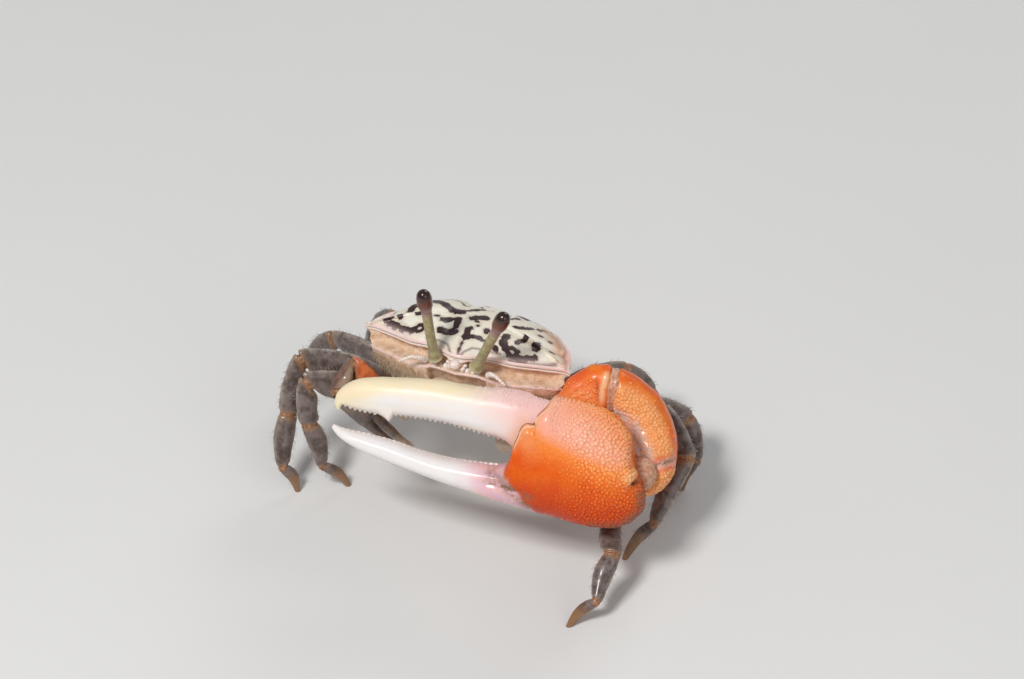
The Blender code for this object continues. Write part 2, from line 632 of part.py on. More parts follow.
def minor_arm():
    """The small claw: a short arm, a wrist, a hand with its fixed finger and the movable finger."""
    root_face = unit(MINOR_ELBOW - MINOR_ROOT)
    elbow_face = face_between(MINOR_ROOT, MINOR_ELBOW, MINOR_WRIST)
    hand_way = unit(MINOR_TIP - MINOR_WRIST)
    wrist_face = face_between(MINOR_ELBOW, MINOR_WRIST, MINOR_TIP)
    wide = unit(np.cross(np.cross(root_face, UP), root_face))
    segment("minor_merus", MINOR_ROOT, MINOR_ELBOW, (root_face, elbow_face), wide, MINOR_MERUS_PROFILE,
            "small_claw", bow=0.2)
    wide = unit(np.cross(np.cross(hand_way, UP), hand_way))
    segment("minor_carpus", MINOR_ELBOW, MINOR_WRIST, (elbow_face, wrist_face), wide, MINOR_CARPUS_PROFILE,
            "small_claw", bow=0.2)
    out = np.cross(hand_way, wide)

    def on_hand(along, up, side=0.0):
        return MINOR_WRIST + hand_way * along + wide * up + out * side

    blade("minor_palm", HAND_UPPER, HAND_LOWER, HAND_HALF, MINOR_SIDES, "small_claw", place=on_hand)
    blade("minor_finger", THUMB_UPPER, THUMB_LOWER, THUMB_HALF, MINOR_SIDES, "small_claw", place=on_hand)
    return MINOR_ROOT, root_face, ARM_SOCKETS[1]


def build():
    """Makes every part of the crab."""
    carapace()
    tail_flap()
    for name, side in (("left", 1), ("right", -1)):
        mouth_leg(f"maxilliped_{name}", side)
        antenna(f"antenna_{name}", side)
        eyestalk(f"eyestalk_{name}", side, EYE_TOPS[name])
        eye(f"eye_{name}", side, EYE_TOPS[name])
    palm_and_fixed_finger()
    movable_finger()
    roots = [major_arm(), minor_arm()]
    roots += [walking_leg(name) for name in LEG_JOINTS]
    underbody(roots)


for obj in list(bpy.data.objects):
    bpy.data.objects.remove(obj)
CRAB = bpy.data.collections.new("fiddler_crab")
bpy.context.scene.collection.children.link(CRAB)
build()
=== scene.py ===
"""A life-size fiddler crab in full detail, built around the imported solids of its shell, claws, eyes and legs.

Places in the code are in millimetres from the point between the roots of the two eyestalks, with +X the
crab's left, -Y ahead of it and +Z up. They become metres on the floor as each mesh is made.
"""

import math

import bmesh
import bpy
import numpy as np
from bpy.props import FloatProperty, FloatVectorProperty, IntProperty, PointerProperty
from mathutils import Matrix, Vector


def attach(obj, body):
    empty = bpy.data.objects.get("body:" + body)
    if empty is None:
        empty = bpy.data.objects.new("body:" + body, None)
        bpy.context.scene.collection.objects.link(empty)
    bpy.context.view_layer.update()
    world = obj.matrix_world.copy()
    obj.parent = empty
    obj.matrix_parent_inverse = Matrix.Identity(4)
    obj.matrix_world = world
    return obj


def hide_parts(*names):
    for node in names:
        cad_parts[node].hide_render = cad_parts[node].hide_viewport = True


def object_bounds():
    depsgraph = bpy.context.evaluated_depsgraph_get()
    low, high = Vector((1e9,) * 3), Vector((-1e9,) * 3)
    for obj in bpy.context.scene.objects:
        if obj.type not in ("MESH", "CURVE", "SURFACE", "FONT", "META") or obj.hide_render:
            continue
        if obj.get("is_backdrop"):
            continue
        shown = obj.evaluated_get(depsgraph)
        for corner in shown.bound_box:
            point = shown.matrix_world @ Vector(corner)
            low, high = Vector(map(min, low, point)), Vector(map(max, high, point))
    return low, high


bl_info = {
    "name": "Fiddler Crab",
    "version": (1, 0, 0),
    "blender": (4, 5, 0),
    "location": "View3D > Sidebar > Crab",
    "description": "Builds the shell, claws, eyes, legs and stage of a life-size fiddler crab",
    "category": "Add Mesh",
}

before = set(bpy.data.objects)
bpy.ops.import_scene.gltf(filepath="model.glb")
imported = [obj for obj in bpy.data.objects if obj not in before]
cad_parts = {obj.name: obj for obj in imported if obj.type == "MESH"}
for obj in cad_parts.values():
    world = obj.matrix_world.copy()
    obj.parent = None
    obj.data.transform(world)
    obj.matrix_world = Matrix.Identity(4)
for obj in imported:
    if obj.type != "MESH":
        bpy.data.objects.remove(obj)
CAD_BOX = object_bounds()

MM = 0.001
STANCE_CENTRE = (2.14, 0.98)
STANCE_HEIGHT = 22.0
BODY_PITCH = math.radians(14)
JOINT_GAP = 0.32
UP = np.array([0.0, 0.0, 1.0])
SIDES = (("left", 1), ("right", -1))


# Places, curves and soft steps.


def unit(vectors):
    """The vectors at length one. One of no length stays as it is."""
    vectors = np.asarray(vectors, float)
    return vectors / np.maximum(np.linalg.norm(vectors, axis=-1, keepdims=True), 1e-12)


def upright(way):
    """The direction square to this one that comes nearest to straight up."""
    return unit(np.cross(np.cross(way, UP), way))


def on_body(places):
    """Places given across, forward and up on the pitched body, in the crab's own frame."""
    x, forward, up = np.moveaxis(np.asarray(places, float), -1, 0)
    cos, sin = math.cos(BODY_PITCH), math.sin(BODY_PITCH)
    return np.stack([x, -forward * cos + up * sin, forward * sin + up * cos], axis=-1)


def to_body(places):
    """The across, forward and up of places in the crab's own frame."""
    x, y, z = np.moveaxis(np.asarray(places, float), -1, 0)
    cos, sin = math.cos(BODY_PITCH), math.sin(BODY_PITCH)
    return np.stack([x, -y * cos + z * sin, y * sin + z * cos], axis=-1)


def set_down(places):
    """Places in metres, with the crab over the origin and its feet on the floor."""
    return (np.asarray(places, float) + (-STANCE_CENTRE[0], -STANCE_CENTRE[1], STANCE_HEIGHT)) * MM


def picked_up(places):
    """Places in millimetres in the crab's own frame, from places in metres."""
    return np.asarray(places, float) / MM - (-STANCE_CENTRE[0], -STANCE_CENTRE[1], STANCE_HEIGHT)


def fade(value, start, end):
    """0 up to start and 1 from end on, with a soft change between."""
    t = np.clip((np.asarray(value, float) - start) / (end - start), 0, 1)
    return t * t * (3 - 2 * t)


def hump(distance, width):
    """1 at no distance, falling softly to nothing at about twice the width."""
    return np.exp(-((np.asarray(distance) / width) ** 2))


def smooth(points, steps):
    """Places on a smooth curve through the given ones, with this many steps to a stretch."""
    points = np.asarray(points, float)
    padded = np.concatenate([points[:1], points, points[-1:]])
    before, start, end, after = (padded[i:len(points) - 1 + i, None] for i in range(4))
    t = (np.arange(steps) / steps).reshape(1, steps, *[1] * (points.ndim - 1))
    bend = (2 * before - 5 * start + 4 * end - after) * t**2
    twist = (3 * start - before - 3 * end + after) * t**3
    found = 0.5 * (2 * start + (end - before) * t + bend + twist)
    return np.concatenate([found.reshape(-1, *points.shape[1:]), points[-1:]])


def through(rows, stations, wanted):
    """Rows at the wanted stations, on a curve through each given row that never overshoots it."""
    rows, stations, wanted = (np.asarray(value, float) for value in (rows, stations, wanted))
    flat = rows.reshape(len(rows), -1)
    gap = np.diff(stations)[:, None]
    slope = np.diff(flat, axis=0) / gap
    tangent = np.vstack([slope[:1], np.zeros_like(slope[1:]), slope[-1:]])
    first, second = 2 * gap[1:] + gap[:-1], gap[1:] + 2 * gap[:-1]
    with np.errstate(divide="ignore", invalid="ignore"):
        mean = (first + second) / (first / slope[:-1] + second / slope[1:])
    tangent[1:-1] = np.where(slope[:-1] * slope[1:] > 0, mean, 0)
    spot = np.clip(np.searchsorted(stations, wanted, "right") - 1, 0, len(gap) - 1)
    t = ((wanted - stations[spot]) / gap[spot, 0])[:, None]
    reach = gap[spot]
    found = (2 * t**3 - 3 * t**2 + 1) * flat[spot] + (3 * t**2 - 2 * t**3) * flat[spot + 1]
    found += (t**3 - 2 * t**2 + t) * reach * tangent[spot] + (t**3 - t**2) * reach * tangent[spot + 1]
    return found.reshape(len(wanted), *rows.shape[1:])


def refined(rows, count):
    """This many rows, evenly spread on a curve through the given ones."""
    return through(rows, np.arange(len(rows)), np.linspace(0, len(rows) - 1, count))


def from_line(places, path):
    """The distance of each place from a path of straight stretches."""
    places, path = np.asarray(places, float), np.asarray(path, float)
    if len(path) == 1:
        return np.linalg.norm(places - path[0], axis=-1)
    nearest = np.full(places.shape[:-1], np.inf)
    for start, end in zip(path, path[1:]):
        way = end - start
        part = np.clip((places - start) @ way / way.dot(way), 0, 1)
        nearest = np.minimum(nearest, np.linalg.norm(places - start - part[..., None] * way, axis=-1))
    return nearest


def near(places, path, width):
    """1 on a path, falling softly to nothing at about twice the width from it."""
    return hump(from_line(places, path), width)


def grain(places, size, seed=0):
    """Soft random heights from -1 to 1 over the places, with features of this size."""
    cell = np.asarray(places, float) / size
    base = np.floor(cell)
    part = cell - base
    part = part * part * (3 - 2 * part)
    total = 0
    for corner in np.ndindex(2, 2, 2):
        spot = (base + corner) @ (127.1, 311.7, 74.7) + seed * 17.3
        value = np.modf(np.abs(np.sin(spot)) * 43758.5453)[0]
        total = total + value * np.prod(np.where(corner, part, 1 - part), axis=-1)
    return 2 * total - 1


# Meshes.


BAKE_MAP = "OFBake"
DIRECTIONS = ("comb", "flat")


def link(data, name):
    """A mesh, a light or a camera as an object in the scene."""
    obj = bpy.data.objects.new(name, data)
    bpy.context.scene.collection.objects.link(obj)
    return obj


def swell(rings, height):
    """The rings moved out along their own surface by this height at each place."""
    around = np.roll(rings, -1, axis=1) - np.roll(rings, 1, axis=1)
    normal = unit(np.cross(around, np.gradient(rings, axis=0)))
    if ((rings - rings.mean(axis=1, keepdims=True)) * normal).sum() < 0:
        normal = -normal
    return rings + normal * height[..., None]


def store(mesh, name, values):
    """Keeps one number, or one direction for a comb or a flat map, for each point of the mesh."""
    if name in DIRECTIONS:
        kind, field, shape = "FLOAT_VECTOR", "vector", (len(mesh.vertices), 3)
    else:
        kind, field, shape = "FLOAT", "value", len(mesh.vertices)
    values = np.broadcast_to(values, shape).astype(np.float32)
    mesh.attributes.new(name, kind, "POINT").data.foreach_set(field, values.ravel())


def flat_map(levels, around):
    """Each place's spot on a flat disc, which one end of a piece has its middle on and the other its edge."""
    reach = np.linspace(0, 0.49, levels)[:, None]
    turn = np.arange(around) * 2 * math.pi / around
    flat = np.stack([reach * np.cos(turn), reach * np.sin(turn)], axis=-1) + 0.5
    return np.concatenate([flat, np.zeros((levels, around, 1))], axis=-1)


def skin(name, rings, material, traits=None):
    """A closed piece through rings of places, with a fan over each end and its traits kept on its points.

    With a cover come even growth and no comb, where none is given, and the flat map that hairs need.
    """
    rings = np.asarray(rings, float)
    levels, around = rings.shape[:2]
    if traits and "cover" in traits:
        traits = {"growth": 1.0, "comb": 0.0, **traits, "flat": flat_map(levels, around)}
    places = np.vstack([rings.reshape(-1, 3), rings[0].mean(axis=0), rings[-1].mean(axis=0)])
    here = np.arange(around)
    after = np.roll(here, -1)
    band = np.arange(levels - 1)[:, None] * around
    quads = np.stack([band + here, band + after, band + around + after, band + around + here], axis=-1)
    top = band[-1] + around
    low_fan = np.stack([np.full(around, levels * around), after, here], axis=-1)
    high_fan = np.stack([np.full(around, levels * around + 1), top + here, top + after], axis=-1)
    faces = [*quads.reshape(-1, 4).tolist(), *low_fan.tolist(), *high_fan.tolist()]
    sides = np.vstack([quads.reshape(-1, 4)[:, :3], quads.reshape(-1, 4)[:, (0, 2, 3)], low_fan, high_fan])
    if np.linalg.det(places[sides] - places.mean(axis=0)).sum() < 0:
        faces = [face[::-1] for face in faces]
    mesh = bpy.data.meshes.new(name)
    mesh.from_pydata(set_down(places).tolist(), [], faces)
    mesh.shade_smooth()
    mesh.materials.append(material)
    for trait, values in (traits or {}).items():
        shape = (levels, around, 3) if trait in DIRECTIONS else (levels, around)
        values = np.broadcast_to(values, shape).astype(float)
        ends = [values[0].mean(axis=0, keepdims=True), values[-1].mean(axis=0, keepdims=True)]
        store(mesh, trait, np.concatenate([values.reshape(-1, *values.shape[2:]), *ends]))
    return link(mesh, name)


def tube(name, places, radii, sides, material, traits=None, flat=1.0):
    """A closed round piece along a path, narrower across by the part flat."""
    return skin(name, tube_rings(places, radii, sides, flat), material, traits)


def tube_rings(places, radii, sides, flat=1.0):
    """Rings of these radii square to a path."""
    places = np.asarray(places, float)
    along = unit(np.gradient(places, axis=0))
    across = unit(np.cross(along, (0.13, 0.2, 0.97)))
    other = np.cross(along, across)
    turn = np.arange(sides) * 2 * math.pi / sides
    round_way = across[:, None] * np.cos(turn)[:, None] + other[:, None] * np.sin(turn)[:, None] * flat
    return places[:, None] + round_way * np.asarray(radii, float)[:, None, None]


def turned(name, profile, sides, bend=0.0, patch=0.0):
    """A small shape turned from a profile of radii and heights, kept as a template for a geometry tree.

    Where a patch is given, it has a bake map of that size, unrolled round it.
    """
    mesh = bpy.data.meshes.new(name)
    bm = bmesh.new()
    tip = bm.verts.layers.float.new("tip")
    sheet = bm.loops.layers.uv.new(BAKE_MAP) if patch else None
    loops = []
    for radius, height in profile:
        loop = []
        for k in range(sides if radius else 1):
            angle = 2 * math.pi * k / sides
            place = (radius * math.cos(angle) + bend * height**2, radius * math.sin(angle), height)
            vert = bm.verts.new(place)
            vert[tip] = max(height, 0.0)
            loop.append(vert)
        loops.append(loop)
    for low, high in zip(loops, loops[1:]):
        for i in range(sides):
            j = (i + 1) % sides
            corners = [low[i % len(low)], low[j % len(low)], high[j % len(high)], high[i % len(high)]]
            face = bm.faces.new(list(dict.fromkeys(corners)))
            for corner in face.loops if patch else ():
                turn = i + 1 if corner.vert in (low[j % len(low)], high[j % len(high)]) else i
                corner[sheet].uv = (patch * turn / sides, patch * corner.vert[tip])
    bmesh.ops.recalc_face_normals(bm, faces=bm.faces)
    bm.to_mesh(mesh)
    bm.free()
    mesh.shade_smooth()
    return link(mesh, name)


def joined(name, parts):
    """One object made of the meshes of several, which are removed."""
    bm = bmesh.new()
    for part in parts:
        bm.from_mesh(part.data)
    mesh = bpy.data.meshes.new(name)
    bm.to_mesh(mesh)
    bm.free()
    mesh.shade_smooth()
    for material in parts[0].data.materials:
        mesh.materials.append(material)
    for part in parts:
        bpy.data.objects.remove(part)
    return link(mesh, name)


def hand_over(obj, slot, *nodes):
    """Fixes a finished piece to the crab, in place of the solids named."""
    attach(obj, "root")
    if nodes:
        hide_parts(*nodes)
    return obj


# Shader and geometry trees.


class Wiring:
    """Adds nodes to a tree and links them as they are added."""

    def __init__(self, tree):
        self.tree = tree

    def add(self, kind, inputs, output=0, **settings):
        """One node, with its inputs set or linked. Gives the output asked for."""
        node = self.tree.nodes.new(kind)
        for setting, value in settings.items():
            setattr(node, setting, value)
        for socket, value in inputs.items():
            if isinstance(value, bpy.types.NodeSocket):
                self.tree.links.new(value, node.inputs[socket])
            else:
                node.inputs[socket].default_value = value
        return node.outputs[output]

    def plus(self, first, second):
        """The sum of two values."""
        return self.add("ShaderNodeMath", {0: first, 1: second}, operation="ADD")

    def times(self, first, second):
        """The product of two values."""
        return self.add("ShaderNodeMath", {0: first, 1: second}, operation="MULTIPLY")


COAT_ROUGHNESS = 0.15
LIGHT_DEPTH = 0.6


class Paint(Wiring):
    """One surface finish. Sizes of its patterns are in millimetres.

    Where a number is asked for, the name of a trait gives the one that is kept on the mesh.
    """

    def __init__(self, name, roughness, coat=0.0, subsurface=0.0, specular=0.35):
        self.material = bpy.data.materials.new(name)
        self.material.use_nodes = True
        super().__init__(self.material.node_tree)
        self.shader = self.tree.nodes["Principled BSDF"]
        given = {"Roughness": roughness, "Specular IOR Level": specular, "Coat Weight": coat,
                 "Coat Roughness": COAT_ROUGHNESS, "Subsurface Weight": subsurface,
                 "Subsurface Scale": LIGHT_DEPTH * MM}
        for socket, value in given.items():
            self.shader.inputs[socket].default_value = value
        place = self.add("ShaderNodeTexCoord", {}, "Object")
        self.place = self.add("ShaderNodeMapping", {"Vector": place, "Scale": (1 / MM,) * 3})

    def add(self, kind, inputs, output=0, **settings):
        """One node, as in any tree, with traits read and colours filled up to four numbers."""
        for socket, value in inputs.items():
            if isinstance(value, str):
                inputs[socket] = super().add("ShaderNodeAttribute", {}, "Fac", attribute_name=value)
            elif socket in (6, 7) and isinstance(value, tuple):
                inputs[socket] = (*value, 1)
        return super().add(kind, inputs, output, **settings)

    def noise(self, size, detail=2.0, stretch=None):
        """Soft random values from 0 to 1 with features of this size."""
        place = self.place
        if stretch:
            place = self.add("ShaderNodeMapping", {"Vector": place, "Scale": (stretch, 1, 1)})
        return self.add("ShaderNodeTexNoise", {"Vector": place, "Scale": 1 / size, "Detail": detail})

    def cells(self, size, reach=0.5, low=0.0, high=1.0):
        """A value that goes from low to high from the middle of each cell of this size to its edge."""
        far = self.add("ShaderNodeTexVoronoi", {"Vector": self.place, "Scale": 1 / size})
        return self.span(far, 0.0, reach, low, high)

    def span(self, value, start, end, low=0.0, high=1.0):
        """The value turned into a soft step between low and high."""
        inputs = {"Value": value, "From Min": start, "From Max": end, "To Min": low, "To Max": high}
        return self.add("ShaderNodeMapRange", inputs, interpolation_type="SMOOTHSTEP")

    def blend(self, factor, first, second):
        """One colour over another by a factor."""
        return self.add("ShaderNodeMix", {0: factor, 6: first, 7: second}, 2, data_type="RGBA")

    def mottle(self, size, detail, start, end, first, second, most=1.0, stretch=None):
        """One colour over another in soft spots of this size."""
        return self.blend(self.span(self.noise(size, detail, stretch), start, end, high=most), first, second)

    def patchy(self, trait, size, detail, start, end):
        """A trait broken up by spots of this size."""
        return self.times(trait, self.span(self.noise(size, detail), start, end))

    def colour(self, value):
        """Sends a colour, or a varying one, to the surface."""
        if isinstance(value, tuple):
            self.shader.inputs["Base Color"].default_value = (*value, 1)
        else:
            self.tree.links.new(value, self.shader.inputs["Base Color"])

    def gloss(self, size, detail, low, high):
        """Lets the roughness vary between low and high in spots of this size."""
        rough = self.span(self.noise(size, detail), 0.3, 0.7, low, high)
        self.tree.links.new(rough, self.shader.inputs["Roughness"])

    def relief(self, height, depth):
        """Sends a height from 0 to 1 to the surface as a bump of this depth."""
        normal = self.add("ShaderNodeBump", {"Height": height, "Distance": depth * MM, "Strength": 1.0})
        self.tree.links.new(normal, self.shader.inputs["Normal"])


class Recipe(Wiring):
    """A geometry tree with named inputs, which ends in one plain mesh of one material."""

    def __init__(self, name, wanted):
        super().__init__(bpy.data.node_groups.new(name, "GeometryNodeTree"))
        face = self.tree.interface
        face.new_socket("Geometry", in_out="INPUT", socket_type="NodeSocketGeometry")
        for title, kind in wanted.items():
            face.new_socket(title, in_out="INPUT", socket_type=f"NodeSocket{kind}")
        face.new_socket("Material", in_out="INPUT", socket_type="NodeSocketMaterial")
        face.new_socket("Geometry", in_out="OUTPUT", socket_type="NodeSocketGeometry")
        self.given = self.tree.nodes.new("NodeGroupInput").outputs

    def kept(self, name, kind="FLOAT"):
        """A number or direction kept on the source mesh."""
        return self.add("GeometryNodeInputNamedAttribute", {"Name": name}, "Attribute", data_type=kind)

    def chance(self, low, high, seed):
        """A random number for each point."""
        return self.add("FunctionNodeRandomValue", {2: low, 3: high, 8: seed}, 1, data_type="FLOAT")

    def tangle(self, amount, seed):
        """A random direction for each point, up to this amount each way."""
        back = self.times(amount, -1.0)
        return self.add("FunctionNodeRandomValue", {0: back, 1: amount, 8: seed}, 0, data_type="FLOAT_VECTOR")

    def sum_of(self, first, second):
        """Two directions added."""
        return self.add("ShaderNodeVectorMath", {0: first, 1: second}, operation="ADD")

    def stand(self, points, way, scale):
        """Stands the template on each point, along a direction, and ends the tree."""
        turn = self.add("FunctionNodeAlignRotationToVector", {"Vector": way}, axis="Z")
        shape = self.add("GeometryNodeObjectInfo", {"Object": self.given["Shape"]}, "Geometry")
        inputs = {"Points": points, "Instance": shape, "Rotation": turn, "Scale": scale}
        placed = self.add("GeometryNodeInstanceOnPoints", inputs)
        real = self.add("GeometryNodeRealizeInstances", {"Geometry": placed})
        painted = self.add("GeometryNodeSetMaterial", {"Geometry": real, "Material": self.given["Material"]})
        self.tree.links.new(painted, self.tree.nodes.new("NodeGroupOutput").inputs[0])
        return self.tree


CROWDING = 12.0


def scatter_tree():
    """Stands a template all over a surface, thicker where its cover is high and leaning as it is combed."""
    wanted = {"Shape": "Object", "Spacing": "Float", "Size": "Float", "Tangle": "Float", "Seed": "Int"}
    recipe = Recipe("scatter_on_surface", wanted)
    given = recipe.given
    area = recipe.times(given["Spacing"], given["Spacing"])
    node = recipe.add("GeometryNodeDistributePointsOnFaces", {
        "Mesh": given["Geometry"],
        "Distance Min": given["Spacing"],
        "Density Max": recipe.add("ShaderNodeMath", {0: CROWDING, 1: area}, operation="DIVIDE"),
        "Density Factor": recipe.kept("cover"),
        "Seed": given["Seed"],
    }, distribute_method="POISSON").node
    way = recipe.sum_of(node.outputs["Normal"], recipe.kept("comb", "FLOAT_VECTOR"))
    way = recipe.sum_of(way, recipe.tangle(given["Tangle"], 3))
    size = recipe.times(given["Size"], recipe.chance(0.72, 1.25, 5))
    size = recipe.times(size, recipe.kept("growth"))
    return recipe.stand(node.outputs["Points"], way, size)


def row_tree():
    """Stands a template along an edge, one to a pitch, out along the way kept on the edge."""
    wanted = {"Shape": "Object", "Pitch": "Float", "Width": "Float", "Height": "Float", "Tangle": "Float",
              "Seed": "Int"}
    recipe = Recipe("row_along_edge", wanted)
    given = recipe.given
    curve = recipe.add("GeometryNodeMeshToCurve", {"Mesh": given["Geometry"]})
    inputs = {"Curve": curve, "Length": given["Pitch"]}
    points = recipe.add("GeometryNodeResampleCurve", inputs, mode="LENGTH")
    way = recipe.sum_of(recipe.kept("comb", "FLOAT_VECTOR"), recipe.tangle(given["Tangle"], 3))
    growth = recipe.times(recipe.kept("growth"), recipe.chance(0.8, 1.2, given["Seed"]))
    width = recipe.times(given["Width"], growth)
    height = recipe.times(given["Height"], growth)
    scale = recipe.add("ShaderNodeCombineXYZ", {"X": width, "Y": width, "Z": height})
    return recipe.stand(points, way, scale)


TREES = {"scatter_on_surface": scatter_tree, "row_along_edge": row_tree}


def map_tufts(mesh):
    """Moves each tuft's patch of the bake map to its root's spot on the flat map of the skin."""
    spots = np.empty(len(mesh.vertices) * 3, np.float32)
    mesh.attributes["flat"].data.foreach_get("vector", spots)
    corners = np.empty(len(mesh.loops), np.int32)
    mesh.loops.foreach_get("vertex_index", corners)
    patches = np.empty(len(corners) * 2, np.float32)
    sheet = mesh.uv_layers[BAKE_MAP].uv
    sheet.foreach_get("vector", patches)
    sheet.foreach_set("vector", patches + spots.reshape(-1, 3)[corners, :2].ravel())


def lay_side_by_side(parts):
    """Moves the flat maps of several pieces each to a square of its own on one map."""
    wide = math.ceil(math.sqrt(len(parts)))
    for k, part in enumerate(parts):
        flat = part.data.attributes["flat"].data
        spots = np.empty(len(flat) * 3, np.float32)
        flat.foreach_get("vector", spots)
        flat.foreach_set("vector", ((spots.reshape(-1, 3) + (k % wide, k // wide, 0)) / wide).ravel())


def grow(source, tree, name, shape, material, **sizes):
    """A plain piece made by running a geometry tree on the source, with one of the small shapes."""
    modifier = source.modifiers.new(tree, "NODES")
    modifier.node_group = bpy.data.node_groups.get(tree) or TREES[tree]()
    values = {"Shape": template(shape), "Material": material, **sizes}
    for item in modifier.node_group.interface.items_tree:
        if item.in_out == "INPUT" and item.name in values:
            modifier[item.identifier] = values[item.name]
    graph = bpy.context.evaluated_depsgraph_get()
    mesh = bpy.data.meshes.new_from_object(source.evaluated_get(graph), depsgraph=graph)
    source.modifiers.remove(modifier)
    if not mesh.polygons:
        raise RuntimeError(f"{name} came out empty")
    if BAKE_MAP in mesh.uv_layers:
        map_tufts(mesh)
    return link(mesh, name)


def edge_row(name, path, ways, growth, shape, material, pitch, width, height, tangle=0.0, seed=1):
    """A row of teeth or beads along a path. Sizes are in millimetres."""
    mesh = bpy.data.meshes.new(name + "_edge")
    mesh.from_pydata(set_down(path).tolist(), [(i, i + 1) for i in range(len(path) - 1)], [])
    store(mesh, "comb", ways)
    store(mesh, "growth", growth)
    edge = link(mesh, name + "_edge")
    obj = grow(edge, "row_along_edge", name, shape, material, Pitch=pitch * MM, Width=width * MM,
               Height=height * MM, Tangle=tangle, Seed=seed)
    bpy.data.objects.remove(edge)
    return obj


def laid_on(piece, path, steps):
    """A smooth path moved to the nearest places on a finished piece, and the directions out of it there."""
    found = [piece.closest_point_on_mesh(place) for place in set_down(smooth(path, steps)).tolist()]
    places, ways = zip(*((tuple(place), tuple(way)) for _, place, way, _ in found))
    return picked_up(places), np.array(ways)


def row_on(name, piece, path, shape, material, pitch, width, height, sink=0.05, steps=8, seed=1):
    """A row of beads along a path laid on the surface of a finished piece."""
    places, ways = laid_on(piece, path, steps)
    return edge_row(name, places - ways * sink, ways, 1.0, shape, material, pitch, width, height, seed=seed)


def scatter(name, source, shape, material, spacing, size, tangle=0.0, seed=1):
    """A small shape scattered over a piece. Sizes are in millimetres."""
    return grow(source, "scatter_on_surface", name, shape, material, Spacing=spacing * MM, Size=size * MM,
                Tangle=tangle, Seed=seed)


BEAD = ((0, -0.5), (1.0, -0.35), (1.02, -0.12), (0.88, 0.17), (0.62, 0.36), (0.31, 0.47), (0, 0.5))
TOOTH = ((0, -0.6), (1.0, -0.5), (1.0, 0.0), (0.72, 0.42), (0.36, 0.8), (0.12, 0.97), (0, 1.0))
HAIR = ((0, -0.05), (0.045, -0.02), (0.04, 0.35), (0.028, 0.7), (0, 1.0))
HAIR_BEND = 0.22
HAIR_PATCH = 0.003
TEMPLATES = {"bead": (BEAD, 8), "tooth": (TOOTH, 7), "hair": (HAIR, 3, HAIR_BEND, HAIR_PATCH)}


def template(name):
    """One of the three small shapes that the trees repeat, made when it is first asked for."""
    return bpy.data.objects[name] if name in bpy.data.objects else turned(name, *TEMPLATES[name])


def put_templates_away():
    """Removes the small shapes once nothing more is grown from them."""
    for name in TEMPLATES:
        bpy.data.objects.remove(template(name))


# Settings.


def tint(name, description, default):
    """A colour that a user may change."""
    return FloatVectorProperty(name=name, description=description, subtype="COLOR", size=4, min=0, max=1,
                               default=(*default, 1))


def length(name, description, millimetres):
    """A length that a user may change, given here in millimetres."""
    return FloatProperty(name=name, description=description, default=millimetres * MM, unit="LENGTH")


def bearing(name, description, degrees):
    """An angle that a user may change, given here in degrees."""
    return FloatProperty(name=name, description=description, default=math.radians(degrees), subtype="ANGLE")


class ShellSettings(bpy.types.PropertyGroup):
    """Sizes and colours of the shell over the body."""

    rim: length("Rim", "How far the raised rim stands up", 0.14)
    groove: length("Groove", "Depth of the grooves in the back", 0.3)
    fuzz: length("Fuzz", "Length of the hairs under the eyes", 0.6)
    cream: tint("Cream", "Ground colour of the back", (0.84, 0.765, 0.61))
    mark: tint("Marks", "Colour of the marks on the back", (0.025, 0.010, 0.009))
    edge: tint("Rim colour", "Colour of the raised rims", (0.88, 0.58, 0.54))
    face: tint("Face", "Colour of the face under the rim", (0.66, 0.42, 0.25))
    warm: tint("Flush", "Colour of the flush on the left edge", (0.62, 0.22, 0.06))


class EyeSettings(bpy.types.PropertyGroup):
    """Sizes and colours of the eyes and their stalks."""

    spacing: length("Spacing", "Between the roots of the stalks", 5.32)
    stalk: length("Stalk", "Diameter of a stalk", 1.2)
    width: length("Eye width", "Width of an eye", 1.9)
    length: length("Eye length", "Length of an eye", 3.1)
    olive: tint("Olive", "Colour of the stalks", (0.30, 0.25, 0.12))
    pupil: tint("Eye top", "Colour of the top of an eye", (0.030, 0.010, 0.008))
    glow: tint("Eye middle", "Colour of the middle of an eye", (0.13, 0.030, 0.018))
    mauve: tint("Eye foot", "Colour of the foot of an eye", (0.30, 0.17, 0.16))


class ClawSettings(bpy.types.PropertyGroup):
    """Sizes and colours of the large claw and its arm."""

    pitch: length("Tooth pitch", "From one tooth to the next", 0.64)
    spacing: length("Grain spacing", "From one grain to the next", 0.4)
    grain: length("Grain", "Half width of a grain", 0.27)
    seed: IntProperty(name="Seed", description="Picks the scatter of the grains", default=4, min=1)
    orange: tint("Orange", "Colour of the palm", (0.79, 0.095, 0.003))
    peach: tint("Peach", "Colour of the palm's upper middle", (0.94, 0.47, 0.38))
    # The grain tip colour is a painted highlight on the tops of the grains.
    pale: tint("Grain tip highlight", "Painted highlight on the tips of the grains", (1.0, 0.66, 0.44))
    white: tint("White", "Colour of the fingers", (0.86, 0.81, 0.78))
    butter: tint("Butter", "Colour along the top of the movable finger", (0.90, 0.74, 0.44))
    pink: tint("Pink", "Colour of the movable finger's base", (0.88, 0.50, 0.46))
    lilac: tint("Lilac", "Colour of the fixed finger's base", (0.74, 0.48, 0.60))
    stain: tint("Stain", "Colour of the mud worn into the joints", (0.24, 0.13, 0.07))


class LegSettings(bpy.types.PropertyGroup):
    """Sizes and colours of the walking legs."""

    hair: length("Hair", "Length of the hairs on the legs", 0.6)
    slate: tint("Slate", "Ground colour of the legs", (0.18, 0.134, 0.118))
    dusk: tint("Dusk", "Colour of the darker patches", (0.078, 0.051, 0.042))
    rim: tint("Edges", "Colour of the pale edges", (0.42, 0.35, 0.30))
    tan: tint("Tan", "Colour of the joints and tips", (0.30, 0.15, 0.065))


